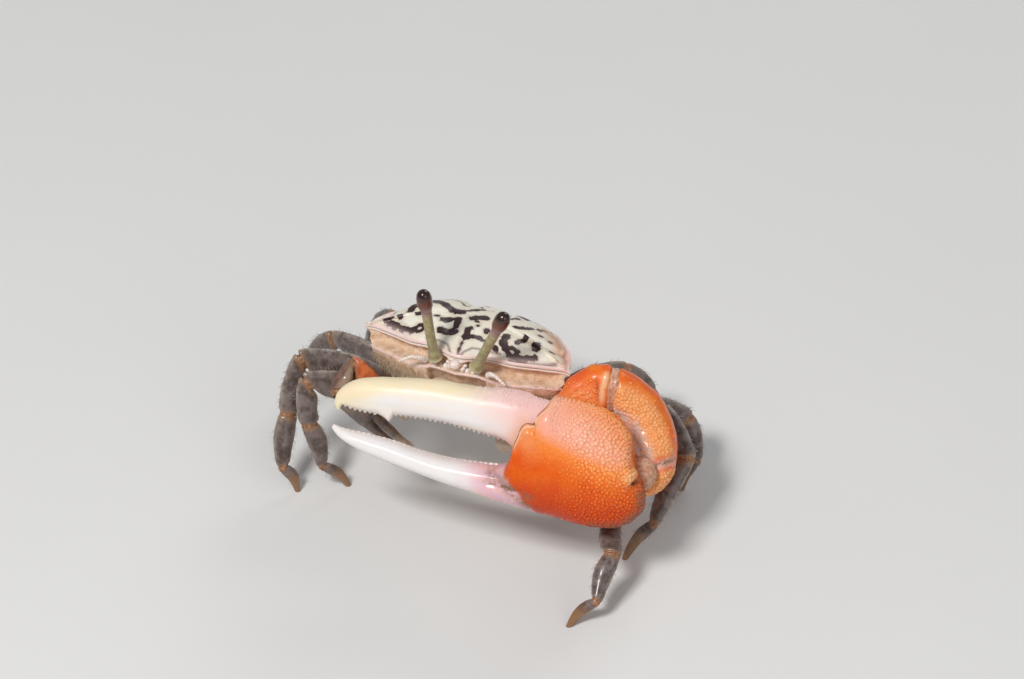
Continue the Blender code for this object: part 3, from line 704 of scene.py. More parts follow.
class SmallClawSettings(bpy.types.PropertyGroup):
    """Colours of the small claw."""

    red: tint("Red", "Ground colour of the small claw's arm", (0.36, 0.05, 0.012))
    umber: tint("Umber", "Colour of its hand and fingers", (0.20, 0.13, 0.09))


class UndersideSettings(bpy.types.PropertyGroup):
    """Sizes and colours of the plates under the body."""

    groove: length("Groove", "Depth of the grooves between plates", 0.2)
    buff: tint("Buff", "Colour of the plates", (0.56, 0.42, 0.30))
    shade: tint("Shade", "Colour in the grooves", (0.20, 0.12, 0.08))


class StageSettings(bpy.types.PropertyGroup):
    """The camera, lights and floor."""

    azimuth: bearing("Azimuth", "Where the camera stands round the crab", 20)
    height: bearing("Elevation", "How far above the horizon the camera is", 40)
    distance: length("Distance", "From the camera to the crab", 520)
    floor: tint("Floor", "Colour of the floor", (0.72, 0.71, 0.69))


# The shell over the body. Half outlines run from the middle of the front to the middle of the back, as
# across, forward and up.
CORNER = (13.0, -4.15, -0.7)
FRONT_MARGIN = ((0, -0.2, -0.1), (1.3, -0.5, -0.1), (3.0, -1.5, -0.15), (4.4, -1.95, -0.25),
                (6.5, -2.2, -0.4), (9.2, -3.4, -0.65), (11.2, -4.3, -0.85), (12.2, -4.5, -0.85), CORNER)
SIDE_MARGIN = (CORNER, (12.6, -4.85, -0.85), (12.3, -6.4, -0.9), (11.3, -9.2, -1.1), (9.6, -12.2, -1.6),
               (8.0, -15.0, -2.3), (6.0, -16.5, -2.8), (3.0, -16.9, -2.9), (0, -17.0, -2.9))
DOME_CENTRE = (-8.4, 1.7)
SUBORBITAL_RIDGE = ((0, -0.3, -2.5), (3.0, -0.4, -2.3), (5.3, -1.2, -3.2), (9.0, -2.3, -3.1),
                    (11.6, -3.6, -3.3), (12.4, -4.9, -3.5))
MOUTH_HALF_WIDTH = 3.75
MOUTH_EDGE = 0.4
LOBE_HALF_WIDTH = 0.8
LOBE_EDGE = 0.7
WALL_TOP = 0.925
WALL_FOOT = 0.74
WALL_DROP = 2.2
WALL_BOTTOM = -7.5
FRONT_FADE = (-7.0, -4.6)
SIDE_RIM = 0.35
CORNER_FADE = (12.3, 13.4)
MARGIN_STEPS = 12

# Levels of the shell past the back: how far down the wall each is, then how far it is moved in, down and, in
# the middle, out. Levels of the wall: how far down, then the part of the wall's height and the mouth's depth.
BACK_END = 0.93
RIM_LEVELS = ((1.05, -0.03, 0.08, 0.0), (1.1, 0.02, 0.27, 0.0), (1.15, 0.27, 0.38, 0.1),
              (1.2, 0.14, 0.55, 0.25), (1.25, 0.2, 0.68, 0.45), (1.35, 0.85, 0.84, 1.05),
              (1.45, 1.2, 1.05, 1.4), (1.6, 1.38, 1.45, 1.45), (1.8, 1.3, 1.9, 1.3))
WALL_LEVELS = ((1.95, -0.035, -0.06), (2.0, 0.0, -0.08), (2.05, 0.04, 0.1), (2.2, 0.16, 0.9),
               (2.4, 0.36, 0.98), (2.6, 0.55, 1.0), (2.8, 0.8, 0.85), (3.0, 1.0, 0.6))
FINE_STRETCHES = ((0.935, 1.3, 30), (1.32, 1.9, 14), (1.92, 2.1, 9), (2.14, 3.0, 18))

# Grooves of the back, for each side, as across and forward.
GROOVES = (((2.3, -4.2), (3.3, -6.2), (3.5, -8.2), (2.7, -10.4), (2.2, -12.4)),
           ((3.4, -7.0), (6.2, -6.4), (9.0, -6.8), (11.0, -7.4)), ((0, -11.2), (1.3, -11.4), (2.4, -11.0)),
           ((2.2, -12.4), (2.6, -14.2), (2.0, -15.6)))
GROOVE_WIDTH = 0.7
BACK_SWELL = (-7.0, -9.5)
LOBE_LINE_WIDTH = 0.15
FUZZ_SPACING = 0.17
FUZZ_COMB = (0.0, -0.5, -0.9)

# Beads of the ridge under the orbits: pitch, half width and height, and their stretch of it on each side.
ORBIT_BEADS = (0.25, 0.13, 0.2)
ORBIT_STRETCHES = (("left", slice(30, 96)), ("right", slice(-96, -30)))
NO_MARK = -9.0

# Dark marks of the back: half the width, then the stroke as across and forward.
MARKS = (
    (0.56, (-6.1, -9.3), (-5.1, -8.9), (-3.4, -8.1), (-2.2, -7.7)),
    (0.22, (-2.2, -8.0), (-0.8, -9.2), (0.6, -11.2)),
    (0.18, (-6.6, -11.6), (-4.6, -11.5), (-2.5, -10.8), (-1.0, -11.6)),
    (0.58, (-3.65, -5.8), (-3.1, -6.1)),
    (0.42, (-2.1, -6.2), (-1.9, -4.8)),
    (0.36, (-4.7, -6.2)),
    (0.58, (-3.3, -3.9), (-1.8, -3.9)),
    (0.44, (-0.2, -4.8), (0.0, -3.2)),
    (0.20, (-0.1, -3.0), (-0.1, -1.9), (0.05, -0.7)),
    (0.38, (-0.1, -3.3), (0.9, -3.6), (2.3, -3.9)),
    (0.54, (-0.6, -7.0), (0.8, -7.9)),
    (0.36, (0.3, -6.5)),
    (0.28, (0.6, -5.8)),
    (0.44, (1.8, -5.4)),
    (0.52, (4.3, -5.7), (4.3, -4.3), (4.9, -3.7)),
    (0.28, (5.1, -3.5), (5.5, -4.2), (6.3, -3.9), (6.3, -3.1), (5.6, -2.85), (5.1, -3.5)),
    (0.38, (6.4, -3.2), (7.5, -3.4), (8.5, -4.3)),
    (0.46, (3.8, -3.15)),
    (0.40, (5.8, -5.3), (6.5, -6.5)),
    (0.36, (7.6, -8.5)),
    (0.48, (7.9, -6.6), (8.1, -5.5)),
    (0.35, (8.9, -8.3)),
    (0.35, (9.9, -6.2)),
    (0.40, (4.3, -7.8), (5.3, -8.3), (6.2, -9.4)),
    (0.30, (6.8, -10.1), (7.2, -11.6)),
    (0.40, (-10.8, -5.2), (-10.1, -4.8), (-9.0, -4.3), (-7.7, -3.8), (-6.8, -3.5)),
    (0.26, (-6.5, -3.7), (-6.3, -4.3), (-5.7, -4.35), (-5.3, -3.8), (-5.8, -3.3), (-6.5, -3.7)),
    (0.52, (-8.0, -7.9), (-8.35, -6.7)),
    (0.30, (-11.0, -8.2), (-10.4, -9.6)),
    (0.27, (-9.4, -5.9), (-8.9, -5.4)),
    (0.44, (-7.0, -6.2)),
    (0.50, (-8.6, -12.4), (-6.6, -13.4)),
    (0.42, (-3.6, -13.4), (-1.2, -13.8)),
    (0.36, (-5.2, -15.1), (-3.4, -15.3)),
    (0.30, (1.2, -15.2), (3.0, -15.0)),
    (0.46, (2.4, -12.8), (4.6, -12.1)),
    (0.32, (4.6, -14.4), (6.2, -13.6)),
    (0.30, (7.5, -13.2)),
    (0.36, (-9.6, -10.4), (-8.9, -11.2)),
    (0.38, (2.4, -10.2), (3.9, -10.7)),
    (0.30, (-0.5, -12.5)),
)
LOBE_LINES = (((-4.6, -2.6), (-2.9, -2.35), (-1.7, -1.75), (-1.05, -0.8), (-0.5, -0.3)),
              ((4.6, -2.7), (2.6, -2.4), (1.3, -1.9), (0.7, -1.1), (0.3, -0.5)), ((-0.1, -2.4), (0.05, -0.5)),
              ((5.8, -2.45), (7.5, -2.95), (9.5, -3.95), (11.0, -4.8)))
FLUSH_PATH = ((8.2, -11.6), (10.6, -8.6), (12.2, -5.9))


def half_margin():
    """Half of the shell's rim."""
    return np.vstack([smooth(FRONT_MARGIN, MARGIN_STEPS), smooth(SIDE_MARGIN, MARGIN_STEPS)[1:]])


def both_sides(half):
    """A ring on the body from its left half, seen from above."""
    half = np.asarray(half)
    return np.vstack([half, half[-2:0:-1] * (-1, 1, 1)])


def dome_level(half, part, dip=0.0):
    """Half a ring of the domed back at this part of the way out to the rim."""
    x, f, h = half.T
    rise = DOME_CENTRE[1] * (1 - part**2.4) + h * part**2.0 - dip
    return np.stack([x * part, DOME_CENTRE[0] + (f - DOME_CENTRE[0]) * part, rise], axis=1)


def shell_level(half, inset, drop, proud=0.0):
    """Half the rim moved in and down, with the lobe between the eyes proud of it."""
    x, f, h = half.T
    way = unit(np.stack([x, f - DOME_CENTRE[0]], axis=1))
    front = fade(f, *FRONT_FADE) * (1 - fade(np.abs(x), *CORNER_FADE))
    depth = inset * (SIDE_RIM + (1 - SIDE_RIM) * front)
    lobe = proud * (1 - fade(np.abs(x), LOBE_HALF_WIDTH, LOBE_HALF_WIDTH + LOBE_EDGE))
    return np.stack([x - way[:, 0] * depth, f - way[:, 1] * depth + lobe, h - drop], axis=1)


def wall_level(half, part, recess=0.0):
    """Half a ring of the wall, from 0 at the ridge under the orbits to 1 at its lower edge."""
    x, f, h = half.T
    ridge = np.array(SUBORBITAL_RIDGE)
    across = x * WALL_TOP
    back = DOME_CENTRE[0] + (f - DOME_CENTRE[0]) * WALL_TOP
    front = fade(f, *FRONT_FADE)
    forward = back + (np.interp(across, ridge[:, 0], ridge[:, 1]) - back) * front
    up = h - WALL_DROP + (np.interp(across, ridge[:, 0], ridge[:, 2]) - h + WALL_DROP) * front
    mouth = recess * (1 - fade(np.abs(x), MOUTH_HALF_WIDTH, MOUTH_HALF_WIDTH + MOUTH_EDGE)) * front
    foot = DOME_CENTRE[0] + (f - DOME_CENTRE[0]) * WALL_FOOT - 0.4 * front
    inward = max(part, 0.0) ** 1.5
    return np.stack([across + (x * WALL_FOOT - across) * inward, forward + (foot - forward) * inward - mouth,
                     up + (WALL_BOTTOM - up) * part], axis=1)


def shell_levels(rim):
    """Half rings of the shell from the middle of the back to the wall's foot, and how far down each is.

    That value runs from 0 on the back over 1 at the rim and 2 at the ridge under the orbits to 3 at the foot.
    """
    half = half_margin()
    parts = np.linspace(0.02, BACK_END, 44)
    back = [dome_level(half, part) for part in parts]
    turns = [(BACK_END, dome_level(half, BACK_END)), (0.96, dome_level(half, 0.962, 0.15 + rim)),
             (0.98, shell_level(half, 0.24, -rim * 0.6)), (1.0, shell_level(half, 0.1, -rim))]
    turns += [(station, shell_level(half, *moves)) for station, *moves in RIM_LEVELS]
    turns += [(station, wall_level(half, *moves)) for station, *moves in WALL_LEVELS]
    stations, levels = zip(*turns)
    wanted = np.concatenate([np.linspace(*stretch) for stretch in FINE_STRETCHES])
    inner = levels[-1] * (0.9, 1, 1)
    return [*back, *through(levels, stations, wanted), inner], np.concatenate([parts, wanted, [3.05]])


def mark_field(plan):
    """How far inside the nearest mark each place is, below 0 outside all of them."""
    field = np.full(plan.shape[:-1], NO_MARK)
    for half_width, *path in MARKS:
        field = np.maximum(field, half_width - from_line(plan, path))
    return field


def shell_paint(settings):
    """Cream shell with dark marks, pinkish rims, and a tan face under them."""
    paint = Paint("marked_shell", roughness=0.4, coat=0.2)
    mark = paint.plus("mark", paint.times(paint.plus(paint.noise(0.7, 2), -0.5), 0.75))
    cream = paint.mottle(1.6, 4, 0.35, 0.75, settings.cream, (0.86, 0.83, 0.72))
    cream = paint.mottle(0.35, 3, 0.58, 0.78, cream, (0.55, 0.46, 0.34), most=0.4)
    cream = paint.blend(paint.span(mark, -0.45, 0.0, high=0.4), cream, (0.46, 0.32, 0.24))
    violet = paint.blend(paint.noise(0.5, 2), settings.mark, (0.060, 0.024, 0.026))
    back = paint.blend(paint.span(mark, -0.05, 0.05), cream, violet)
    back = paint.blend(paint.patchy("flush", 0.9, 3, 0.1, 0.55), back, settings.warm)
    face = paint.mottle(0.9, 5, 0.3, 0.7, settings.face, (0.86, 0.64, 0.48))
    face = paint.mottle(0.28, 3, 0.6, 0.75, face, (0.30, 0.15, 0.08), most=0.6)
    rim = paint.blend(paint.noise(0.7, 3), settings.edge, (0.92, 0.80, 0.74))
    colour = paint.blend("rim", paint.blend("face", back, face), rim)
    # The seam colour is partly real: the dark lines of the lobe between the eyes. The lines in the groove
    # behind the rim and under the rim are painted shade.
    paint.colour(paint.blend("seam_and_shade", colour, (0.16, 0.075, 0.085)))
    paint.gloss(0.4, 3, 0.3, 0.55)
    beads = paint.cells(0.34, low=paint.span("face", 0.0, 1.0, 0.0, 3.8), high=0.0)
    pits = paint.times(paint.cells(0.34), 0.7)
    paint.relief(paint.plus(paint.plus(pits, beads), paint.noise(0.16, 3)), 0.024)
    return paint.material


def tipped_paint(name, roughness, coat, root, tip):
    """Hairs or beads of one colour at their roots and another at their tips."""
    paint = Paint(name, roughness, coat)
    paint.colour(paint.blend("tip", root, tip))
    return paint.material


def face_fuzz():
    """The hairs of the face, the mouth legs and the small claw, made when they are first asked for."""
    made = bpy.data.materials.get("face_fuzz")
    return made or tipped_paint("face_fuzz", 0.6, 0.0, (0.46, 0.31, 0.18), (0.74, 0.60, 0.42))


class CRAB_OT_shell(bpy.types.Operator):
    """Builds the shell over the body, with its rims, marks and fuzz."""

    bl_idname = "crab.shell"
    bl_label = "Shell"

    def execute(self, context):
        settings = context.scene.crab_shell
        halves, depth = shell_levels(settings.rim / MM)
        rings = np.array([both_sides(half) for half in halves])
        x, f, _ = np.moveaxis(rings, -1, 0)
        plan, folded = np.stack([x, f], axis=-1), np.stack([np.abs(x), f], axis=-1)
        depth = depth[:, None]
        on_back = 1 - fade(depth, 0.95, 1.0)
        on_front = fade(f, *FRONT_FADE) * (1 - fade(np.abs(x), *CORNER_FADE))
        groove = np.minimum(sum(near(folded, path, GROOVE_WIDTH) for path in GROOVES), 1.2)
        height = -settings.groove / MM * groove * on_back
        height += 0.75 * near(plan, (BACK_SWELL,), 4.5) * on_back * (1 - fade(depth, 0.7, 0.93))
        height += 0.07 * grain(rings, 3.1, 2) * on_back * (1 - fade(depth, 0.8, 0.93))
        even = (0.3 + 0.7 * fade(depth, 1.3, 1.5)) * (1 - fade(depth, 2.9, 3.0))
        height += 0.05 * grain(rings, 1.1, 5) * even
        rim = hump(depth - 1.03, 0.09) + 0.8 * hump(depth - 1.21, 0.04) * on_front
        rim = rim + 0.9 * hump(depth - 2.0, 0.06)
        # Dark lines: those in the groove behind the rim and under it are painted shade, and the lobe's lines
        # are real marks.
        seam_and_shade = 0.85 * hump(depth - 1.14, 0.025) * on_front + 0.5 * hump(depth - 1.3, 0.05) * on_front
        lobe = sum(near(plan, line, LOBE_LINE_WIDTH) for line in LOBE_LINES)
        seam_and_shade = seam_and_shade + 0.8 * lobe * on_back
        fuzz = fade(depth, 2.1, 2.3) * (1 - fade(depth, 2.8, 2.95)) * fade(f, -9.0, -5.0)
        fuzz *= fade(np.abs(x), MOUTH_HALF_WIDTH, MOUTH_HALF_WIDTH + 1.0)
        shell = skin("shell", swell(on_body(rings), height), shell_paint(settings), {
            "mark": np.where(depth < 0.99, mark_field(plan), NO_MARK),
            "face": fade(depth, 1.16, 1.26),
            "rim": np.clip(rim, 0, 1),
            "seam_and_shade": np.clip(seam_and_shade, 0, 1),
            "flush": near(plan, FLUSH_PATH, 1.25) * (1 - fade(depth, 1.1, 1.3)),
            "cover": fuzz,
            "comb": FUZZ_COMB,
        })
        hairs = scatter("shell_fuzz", shell, "hair", face_fuzz(), FUZZ_SPACING, settings.fuzz / MM,
                        tangle=0.35, seed=6)
        hand_over(shell, "shell", "carapace")
        hand_over(hairs, "shell")
        bead = tipped_paint("marked_shell_bead", 0.3, 0.3, (0.80, 0.54, 0.48), (0.92, 0.76, 0.70))
        ridge = on_body(both_sides(wall_level(half_margin(), 0.0, -0.13)))
        ways = unit(ridge - on_body((0, DOME_CENTRE[0], -3.0)))
        for name, chosen in ORBIT_STRETCHES:
            beads = edge_row(f"orbit_beads_{name}", ridge[chosen], ways[chosen], 1.0, "bead", bead,
                             *ORBIT_BEADS, seed=2)
            hand_over(beads, "shell")
        return {"FINISHED"}


# Eyes. The tops are from the roots of the stalks.
EYE_TOPS = {"right": (-1.15, -0.6, 10.1), "left": (3.75, -0.4, 9.3)}
EYE_ROOT_DROP = 0.75
STALK_PROFILE = ((0, 1.25), (0.06, 1.45), (0.14, 1.3), (0.3, 1.02), (0.8, 0.98), (0.94, 1.04), (1, 1.0))
EYE_PROFILE = ((0, 0.66), (0.06, 0.74), (0.15, 0.84), (0.35, 0.98), (0.58, 1.0), (0.8, 0.86), (0.93, 0.57),
               (0.985, 0.26), (1, 0.04))
STALK_BOW = (0, -0.12, 0)


def eye_line(settings, side, name):
    """The root of a stalk, the foot of its eye and the way between."""
    root = np.array([side * settings.spacing / MM / 2, 0.0, -EYE_ROOT_DROP])
    top = root + np.array(EYE_TOPS[name])
    along = unit(top - root)
    return root, top - along * settings.length / MM, along


def eye_paint(settings):
    """Wet dark eye, black on top, red-brown in its middle and mauve at its foot."""
    paint = Paint("wet_eye", roughness=0.14, coat=0.6)
    up = paint.plus("height", paint.times(paint.noise(0.5, 2), 0.06))
    low = paint.blend(paint.span(up, 0.06, 0.52), settings.mauve, settings.glow)
    paint.colour(paint.blend(paint.span(up, 0.50, 0.86), low, settings.pupil))
    paint.relief(paint.cells(0.09), 0.004)
    return paint.material


def stalk_paint(settings):
    """Olive stalk with paler bands, glossy and a little mottled."""
    paint = Paint("olive_stalk", roughness=0.28, coat=0.5, subsurface=0.1)
    patch = paint.mottle(0.6, 4, 0.35, 0.7, settings.olive, (0.42, 0.38, 0.20))
    patch = paint.mottle(0.2, 3, 0.6, 0.75, patch, (0.13, 0.11, 0.04), most=0.6)
    colour = paint.blend(paint.span("height", 0.86, 1.0), patch, settings.mauve)
    paint.colour(paint.blend(paint.span("height", 0.16, 0.0), colour, (0.62, 0.60, 0.40)))
    paint.relief(paint.noise(0.14, 3), 0.015)
    return paint.material


class CRAB_OT_eyes(bpy.types.Operator):
    """Builds the two eyes on their stalks."""

    bl_idname = "crab.eyes"
    bl_label = "Eyes"

    def execute(self, context):
        settings = context.scene.crab_eyes
        wet, olive = eye_paint(settings), stalk_paint(settings)
        for name, side in SIDES:
            root, foot, along = eye_line(settings, side, name)
            stops = [root - along * 0.5, root + along * 1.2, (root + foot) / 2 + STALK_BOW, foot]
            places = smooth(stops, 20)
            part = np.linspace(0, 1, len(places))
            stations, radii = np.transpose(STALK_PROFILE)
            radii = settings.stalk / MM / 2 * through(radii, stations, part)
            radii += 0.03 * np.sin(part * 40) * hump(part - 0.08, 0.12)
            stalk = tube(f"stalk_{name}", places, radii, 24, olive, {"height": part[:, None]})
            hand_over(stalk, "eyestalk", f"eyestalk_{name}")
            part = 1 - (1 - np.linspace(0, 1, 44)) ** 1.6
            stations, radii = np.transpose(EYE_PROFILE)
            radii = settings.width / MM / 2 * through(radii, stations, part)
            places = foot + along * part[:, None] * settings.length / MM
            eye = tube(f"eyeball_{name}", places, radii, 32, wet, {"height": part[:, None]})
            hand_over(eye, "eye", f"eye_{name}")
        return {"FINISHED"}


# Underside.
PLATE_BOTTOM = -11.0
PLATE_MIDDLE = -9.2
FLAP_HALF = ((0, -5.0), (0.9, -5.6), (1.3, -8.0), (1.7, -11.0), (2.1, -13.4), (1.9, -14.8), (0, -15.2))
# Levels of the folded tail: its size there, then how far down it is.
FLAP_LEVELS = ((0.86, 0), (0.97, 0.06), (1.0, 0.2), (0.985, 0.45), (0.93, 0.68), (0.82, 0.8), (0.55, 0.86),
               (0.2, 0.88))
FLAP_JOINTS = (-6.6, -8.2, -9.8, -11.4, -13.0, -14.2)
PLATE_SEAMS = (-5.9, -9.2, -12.4)
MOUTH_LEG_OUTLINE = ((0.25, -4.0), (2.0, -3.8), (3.2, -4.6), (3.35, -6.4), (2.9, -8.2), (1.7, -9.3),
                     (0.45, -9.4), (0.2, -6.8))
MOUTH_LEG_LEVELS = ((0.86, -1.3), (0.97, -1.2), (1.0, -1.05), (1.0, -0.75), (0.98, -0.5), (0.9, -0.34),
                    (0.72, -0.26), (0.4, -0.2), (0.1, -0.18))
MOUTH_LEG_LEAN = 0.16
MOUTH_TOP = -4.0
MOUTH_HAIR_SPACING = 0.22
MOUTH_HAIR_LENGTH = 0.75
ANTENNA_PATH = ((4.0, -0.75, -1.9), (4.5, 0.1, -1.3), (5.4, 0.6, -1.2), (6.6, 0.8, -1.9))
ANTENNA_RADII = (0.34, 0.16)
ANTENNA_SEGMENTS = 11
PIECE_LEVELS = 40
REMESH_SIZE = 0.00022

# Small pale knobs under the lobe between the eyes: across, forward, up and radius.
BROW_KNOBS = ((0, 0.05, -1.1, 0.7), (0.8, -0.5, -1.75, 0.38), (1.35, -0.85, -2.0, 0.42),
              (2.0, -0.95, -2.15, 0.33), (2.7, -0.6, -2.2, 0.34), (0.6, -0.4, -0.75, 0.27),
              (1.05, -0.65, -1.3, 0.3))


def buff_paint(settings):
    """Dull buff plates, darker in their grooves."""
    paint = Paint("buff_plate", roughness=0.5, coat=0.1)
    colour = paint.mottle(1.8, 4, 0.3, 0.7, settings.buff, (0.66, 0.55, 0.44))
    colour = paint.mottle(0.4, 4, 0.56, 0.8, colour, (0.34, 0.20, 0.13), most=0.5)
    paint.colour(paint.blend("groove", colour, settings.shade))
    paint.relief(paint.plus(paint.noise(0.22, 4), paint.noise(0.7, 2)), 0.03)
    return paint.material


def fine_copy(node, name, size, rounds=4):
    """A smooth even mesh over a solid, relaxed this many rounds."""
    bm = bmesh.new()
    bm.from_mesh(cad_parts[node].data)
    bmesh.ops.remove_doubles(bm, verts=bm.verts, dist=1e-7)
    mesh = bpy.data.meshes.new(name)
    bm.to_mesh(mesh)
    bm.free()
    obj = link(mesh, name)
    remesh = obj.modifiers.new("even", "REMESH")
    remesh.mode = "VOXEL"
    remesh.voxel_size = size
    relax = obj.modifiers.new("relax", "SMOOTH")
    relax.factor = 0.5
    relax.iterations = rounds
    graph = bpy.context.evaluated_depsgraph_get()
    obj.data = bpy.data.meshes.new_from_object(obj.evaluated_get(graph), depsgraph=graph)
    obj.modifiers.clear()
    bpy.data.meshes.remove(mesh)
    return obj


def knob(middle, radius, material):
    """A small round knob, flatter above."""
    turn = np.linspace(0.12, math.pi - 0.12, 16)
    places = middle + np.outer(np.cos(turn), (0, 0.1, 0.85)) * radius
    return tube("knob", places, np.sin(turn) * radius, 20, material)


def mesh_places(mesh, field="co"):
    """The points of a mesh, or their normals, as rows."""
    values = np.empty(len(mesh.vertices) * 3, np.float32)
    if field == "co":
        mesh.vertices.foreach_get("co", values)
    else:
        mesh.vertex_normals.foreach_get("vector", values)
    return values.reshape(-1, 3).astype(float)


def dress(piece, height, material, traits):
    """Moves a piece's surface out by a height at each point, and gives it its finish and numbers."""
    mesh = piece.data
    places = mesh_places(mesh) + mesh_places(mesh, "normal") * height[:, None] * MM
    mesh.vertices.foreach_set("co", places.astype(np.float32).ravel())
    for trait, values in traits.items():
        store(mesh, trait, values)
    mesh.shade_smooth()
    mesh.materials.clear()
    mesh.materials.append(material)


class CRAB_OT_underside(bpy.types.Operator):
    """Builds the breast plate, the folded tail, the mouth legs and the feelers."""

    bl_idname = "crab.underside"
    bl_label = "Underside"

    def execute(self, context):
        settings = context.scene.crab_underside
        buff = buff_paint(settings)
        self.build_plate(settings.groove / MM, buff)
        self.build_lining()
        self.build_tail(buff)
        pearl = Paint("pearly_knob", roughness=0.2, coat=0.5, subsurface=0.1)
        pearl.colour(pearl.blend(pearl.noise(0.4, 3), (0.74, 0.56, 0.50), (0.93, 0.86, 0.78)))
        for name, side in SIDES:
            self.build_mouth_leg(name, side, buff)
            self.build_feeler(name, side, pearl.material)
        knobs = [knob(on_body((side * x, f, h)), radius, pearl.material)
                 for x, f, h, radius in BROW_KNOBS for side in ((1, -1) if x else (1,))]
        hand_over(joined("brow_knobs", knobs), "underside")
        return {"FINISHED"}

    def build_plate(self, depth, buff):
        """The breast plate under the body, with grooves of this depth."""
        plate = fine_copy("underbody", "breast_plate", REMESH_SIZE)
        points = mesh_places(plate.data)
        x, f, _ = np.moveaxis(to_body(picked_up(points)), -1, 0)
        slant = f + 0.16 * np.abs(x)
        seam_and_shade = sum(hump(slant - line, 0.22) for line in PLATE_SEAMS) * fade(np.abs(x), 1.6, 2.4)
        seam_and_shade = np.clip(seam_and_shade + hump(x, 0.16) * (1 - fade(f, -5.6, -4.4)), 0, 1)
        dress(plate, -depth * seam_and_shade + 0.05 * grain(points / MM, 1.3, 3), buff, {"groove": seam_and_shade * 0.8})
        hand_over(plate, "underside", "underbody")

    def build_lining(self):
        """The dark floor between the shell's wall and the roots of the legs."""
        lining = Paint("dark_lining", roughness=0.6)
        lining.colour((0.10, 0.06, 0.045))
        foot = both_sides(wall_level(half_margin(), 1.0)) * (0.96, 0.97, 1) - (0, 0.25, 0)
        rings = [on_body(foot + (0, 0, up)) for up in (0.5, 0.2, -0.2, -0.9)]
        hand_over(skin("body_lining", rings, lining.material), "underside")

    def build_tail(self, buff):
        """The tail, folded flat under the body."""
        half = smooth(FLAP_HALF, 12)
        levels = []
        for size, down in FLAP_LEVELS:
            forward = PLATE_MIDDLE + (half[:, 1] - PLATE_MIDDLE) * size
            up = np.full(len(half), PLATE_BOTTOM - JOINT_GAP - down)
            levels.append(both_sides(np.stack([half[:, 0] * size, forward, up], axis=1)))
        rings = refined(levels, PIECE_LEVELS)
        joints = np.clip(sum(hump(rings[..., 1] - line, 0.13) for line in FLAP_JOINTS), 0, 1)
        flap = skin("folded_tail", swell(on_body(rings), -0.14 * joints), buff, {"groove": joints * 0.8})
        hand_over(flap, "underside", "abdomen")

    def build_mouth_leg(self, name, side, buff):
        """One of the two flat legs over the mouth, with hairs along its inner and lower edges."""
        outline = smooth((*MOUTH_LEG_OUTLINE, MOUTH_LEG_OUTLINE[0]), 8)[:-1]
        middle = outline.mean(axis=0)
        levels = []
        for size, out in MOUTH_LEG_LEVELS:
            x, h = (middle + (outline - middle) * size).T
            levels.append(np.stack([side * x, out + MOUTH_LEG_LEAN * (h - MOUTH_TOP), h], axis=1))
        rings = refined(levels, PIECE_LEVELS)
        x, _, h = np.moveaxis(rings, -1, 0)
        front = fade(np.linspace(0, 1, PIECE_LEVELS)[:, None], 0.4, 0.6)
        seam_and_shade = hump(h + 0.25 * np.abs(x) + 5.4, 0.13) + 0.6 * hump(np.abs(x) - 1.1 + 0.05 * h, 0.14)
        seam_and_shade = np.clip(seam_and_shade, 0, 1) * front
        edge = hump(np.abs(x) - 0.3, 0.5) + hump(h + 9.2, 0.6)
        comb = (-side * 0.5, -0.5, -0.4)
        traits = {"groove": seam_and_shade * 0.7, "cover": np.clip(edge, 0, 1) * front, "comb": comb}
        plate = skin(f"mouth_leg_{name}", swell(on_body(rings), -0.12 * seam_and_shade), buff, traits)
        hairs = scatter(f"mouth_hair_{name}", plate, "hair", face_fuzz(), MOUTH_HAIR_SPACING,
                        MOUTH_HAIR_LENGTH, tangle=0.3, seed=3)
        hand_over(plate, "underside", f"maxilliped_{name}")
        hand_over(hairs, "underside")

    def build_feeler(self, name, side, pearl):
        """One of the two short ringed feelers beside the eyestalks."""
        places = smooth([on_body((side * x, f, h)) for x, f, h in ANTENNA_PATH], 24)
        part = np.linspace(0, 1, len(places))
        ringed = 1 + 0.16 * np.cos(part * 2 * math.pi * ANTENNA_SEGMENTS)
        feeler = tube(f"feeler_{name}", places, np.interp(part, (0, 1), ANTENNA_RADII) * ringed, 14, pearl)
        hand_over(feeler, "underside", f"antenna_{name}")


# Large claw. Upper and lower edges are matched places along and up the claw's face, then half a thickness.
WRIST = np.array([26.6, -5.0, -6.0])
CLAW_TILT = math.radians(28)
CLAW_WAY = unit((-37.0, -5.0, 1.3))
CLAW_UP = np.array([0, math.sin(CLAW_TILT), math.cos(CLAW_TILT)])
CLAW_UP = unit(CLAW_UP - CLAW_WAY * CLAW_UP.dot(CLAW_WAY))
CLAW_OUT = np.cross(CLAW_UP, CLAW_WAY)
PALM_UPPER = ((2.0, -0.75), (3.0, 1.1), (3.5, 3.75), (5.2, 5.5), (7.6, 6.6), (10.3, 6.95), (12.0, 7.05),
              (12.95, 6.95), (13.45, 6.0), (14.1, 5.1), (14.35, 3.95), (15.45, 3.75), (16.1, 2.4),
              (16.55, 1.0), (16.9, -0.6), (17.7, -2.1), (20.6, -2.4), (24.2, -2.5), (27.9, -2.2),
              (31.0, -1.6), (34.2, -1.3), (36.8, -1.15), (38.4, -0.8))
PALM_LOWER = ((1.0, -2.6), (0.75, -4.45), (1.85, -6.15), (3.7, -7.2), (6.0, -7.55), (8.2, -7.5), (9.9, -7.35),
              (11.0, -7.25), (11.9, -7.15), (12.7, -7.08), (13.4, -7.0), (14.1, -6.92), (14.8, -6.85),
              (15.6, -6.77), (16.6, -6.63), (18.6, -6.4), (21.3, -5.95), (24.8, -5.4), (28.4, -4.7),
              (31.6, -4.1), (34.6, -3.4), (36.9, -2.5), (38.5, -1.3))
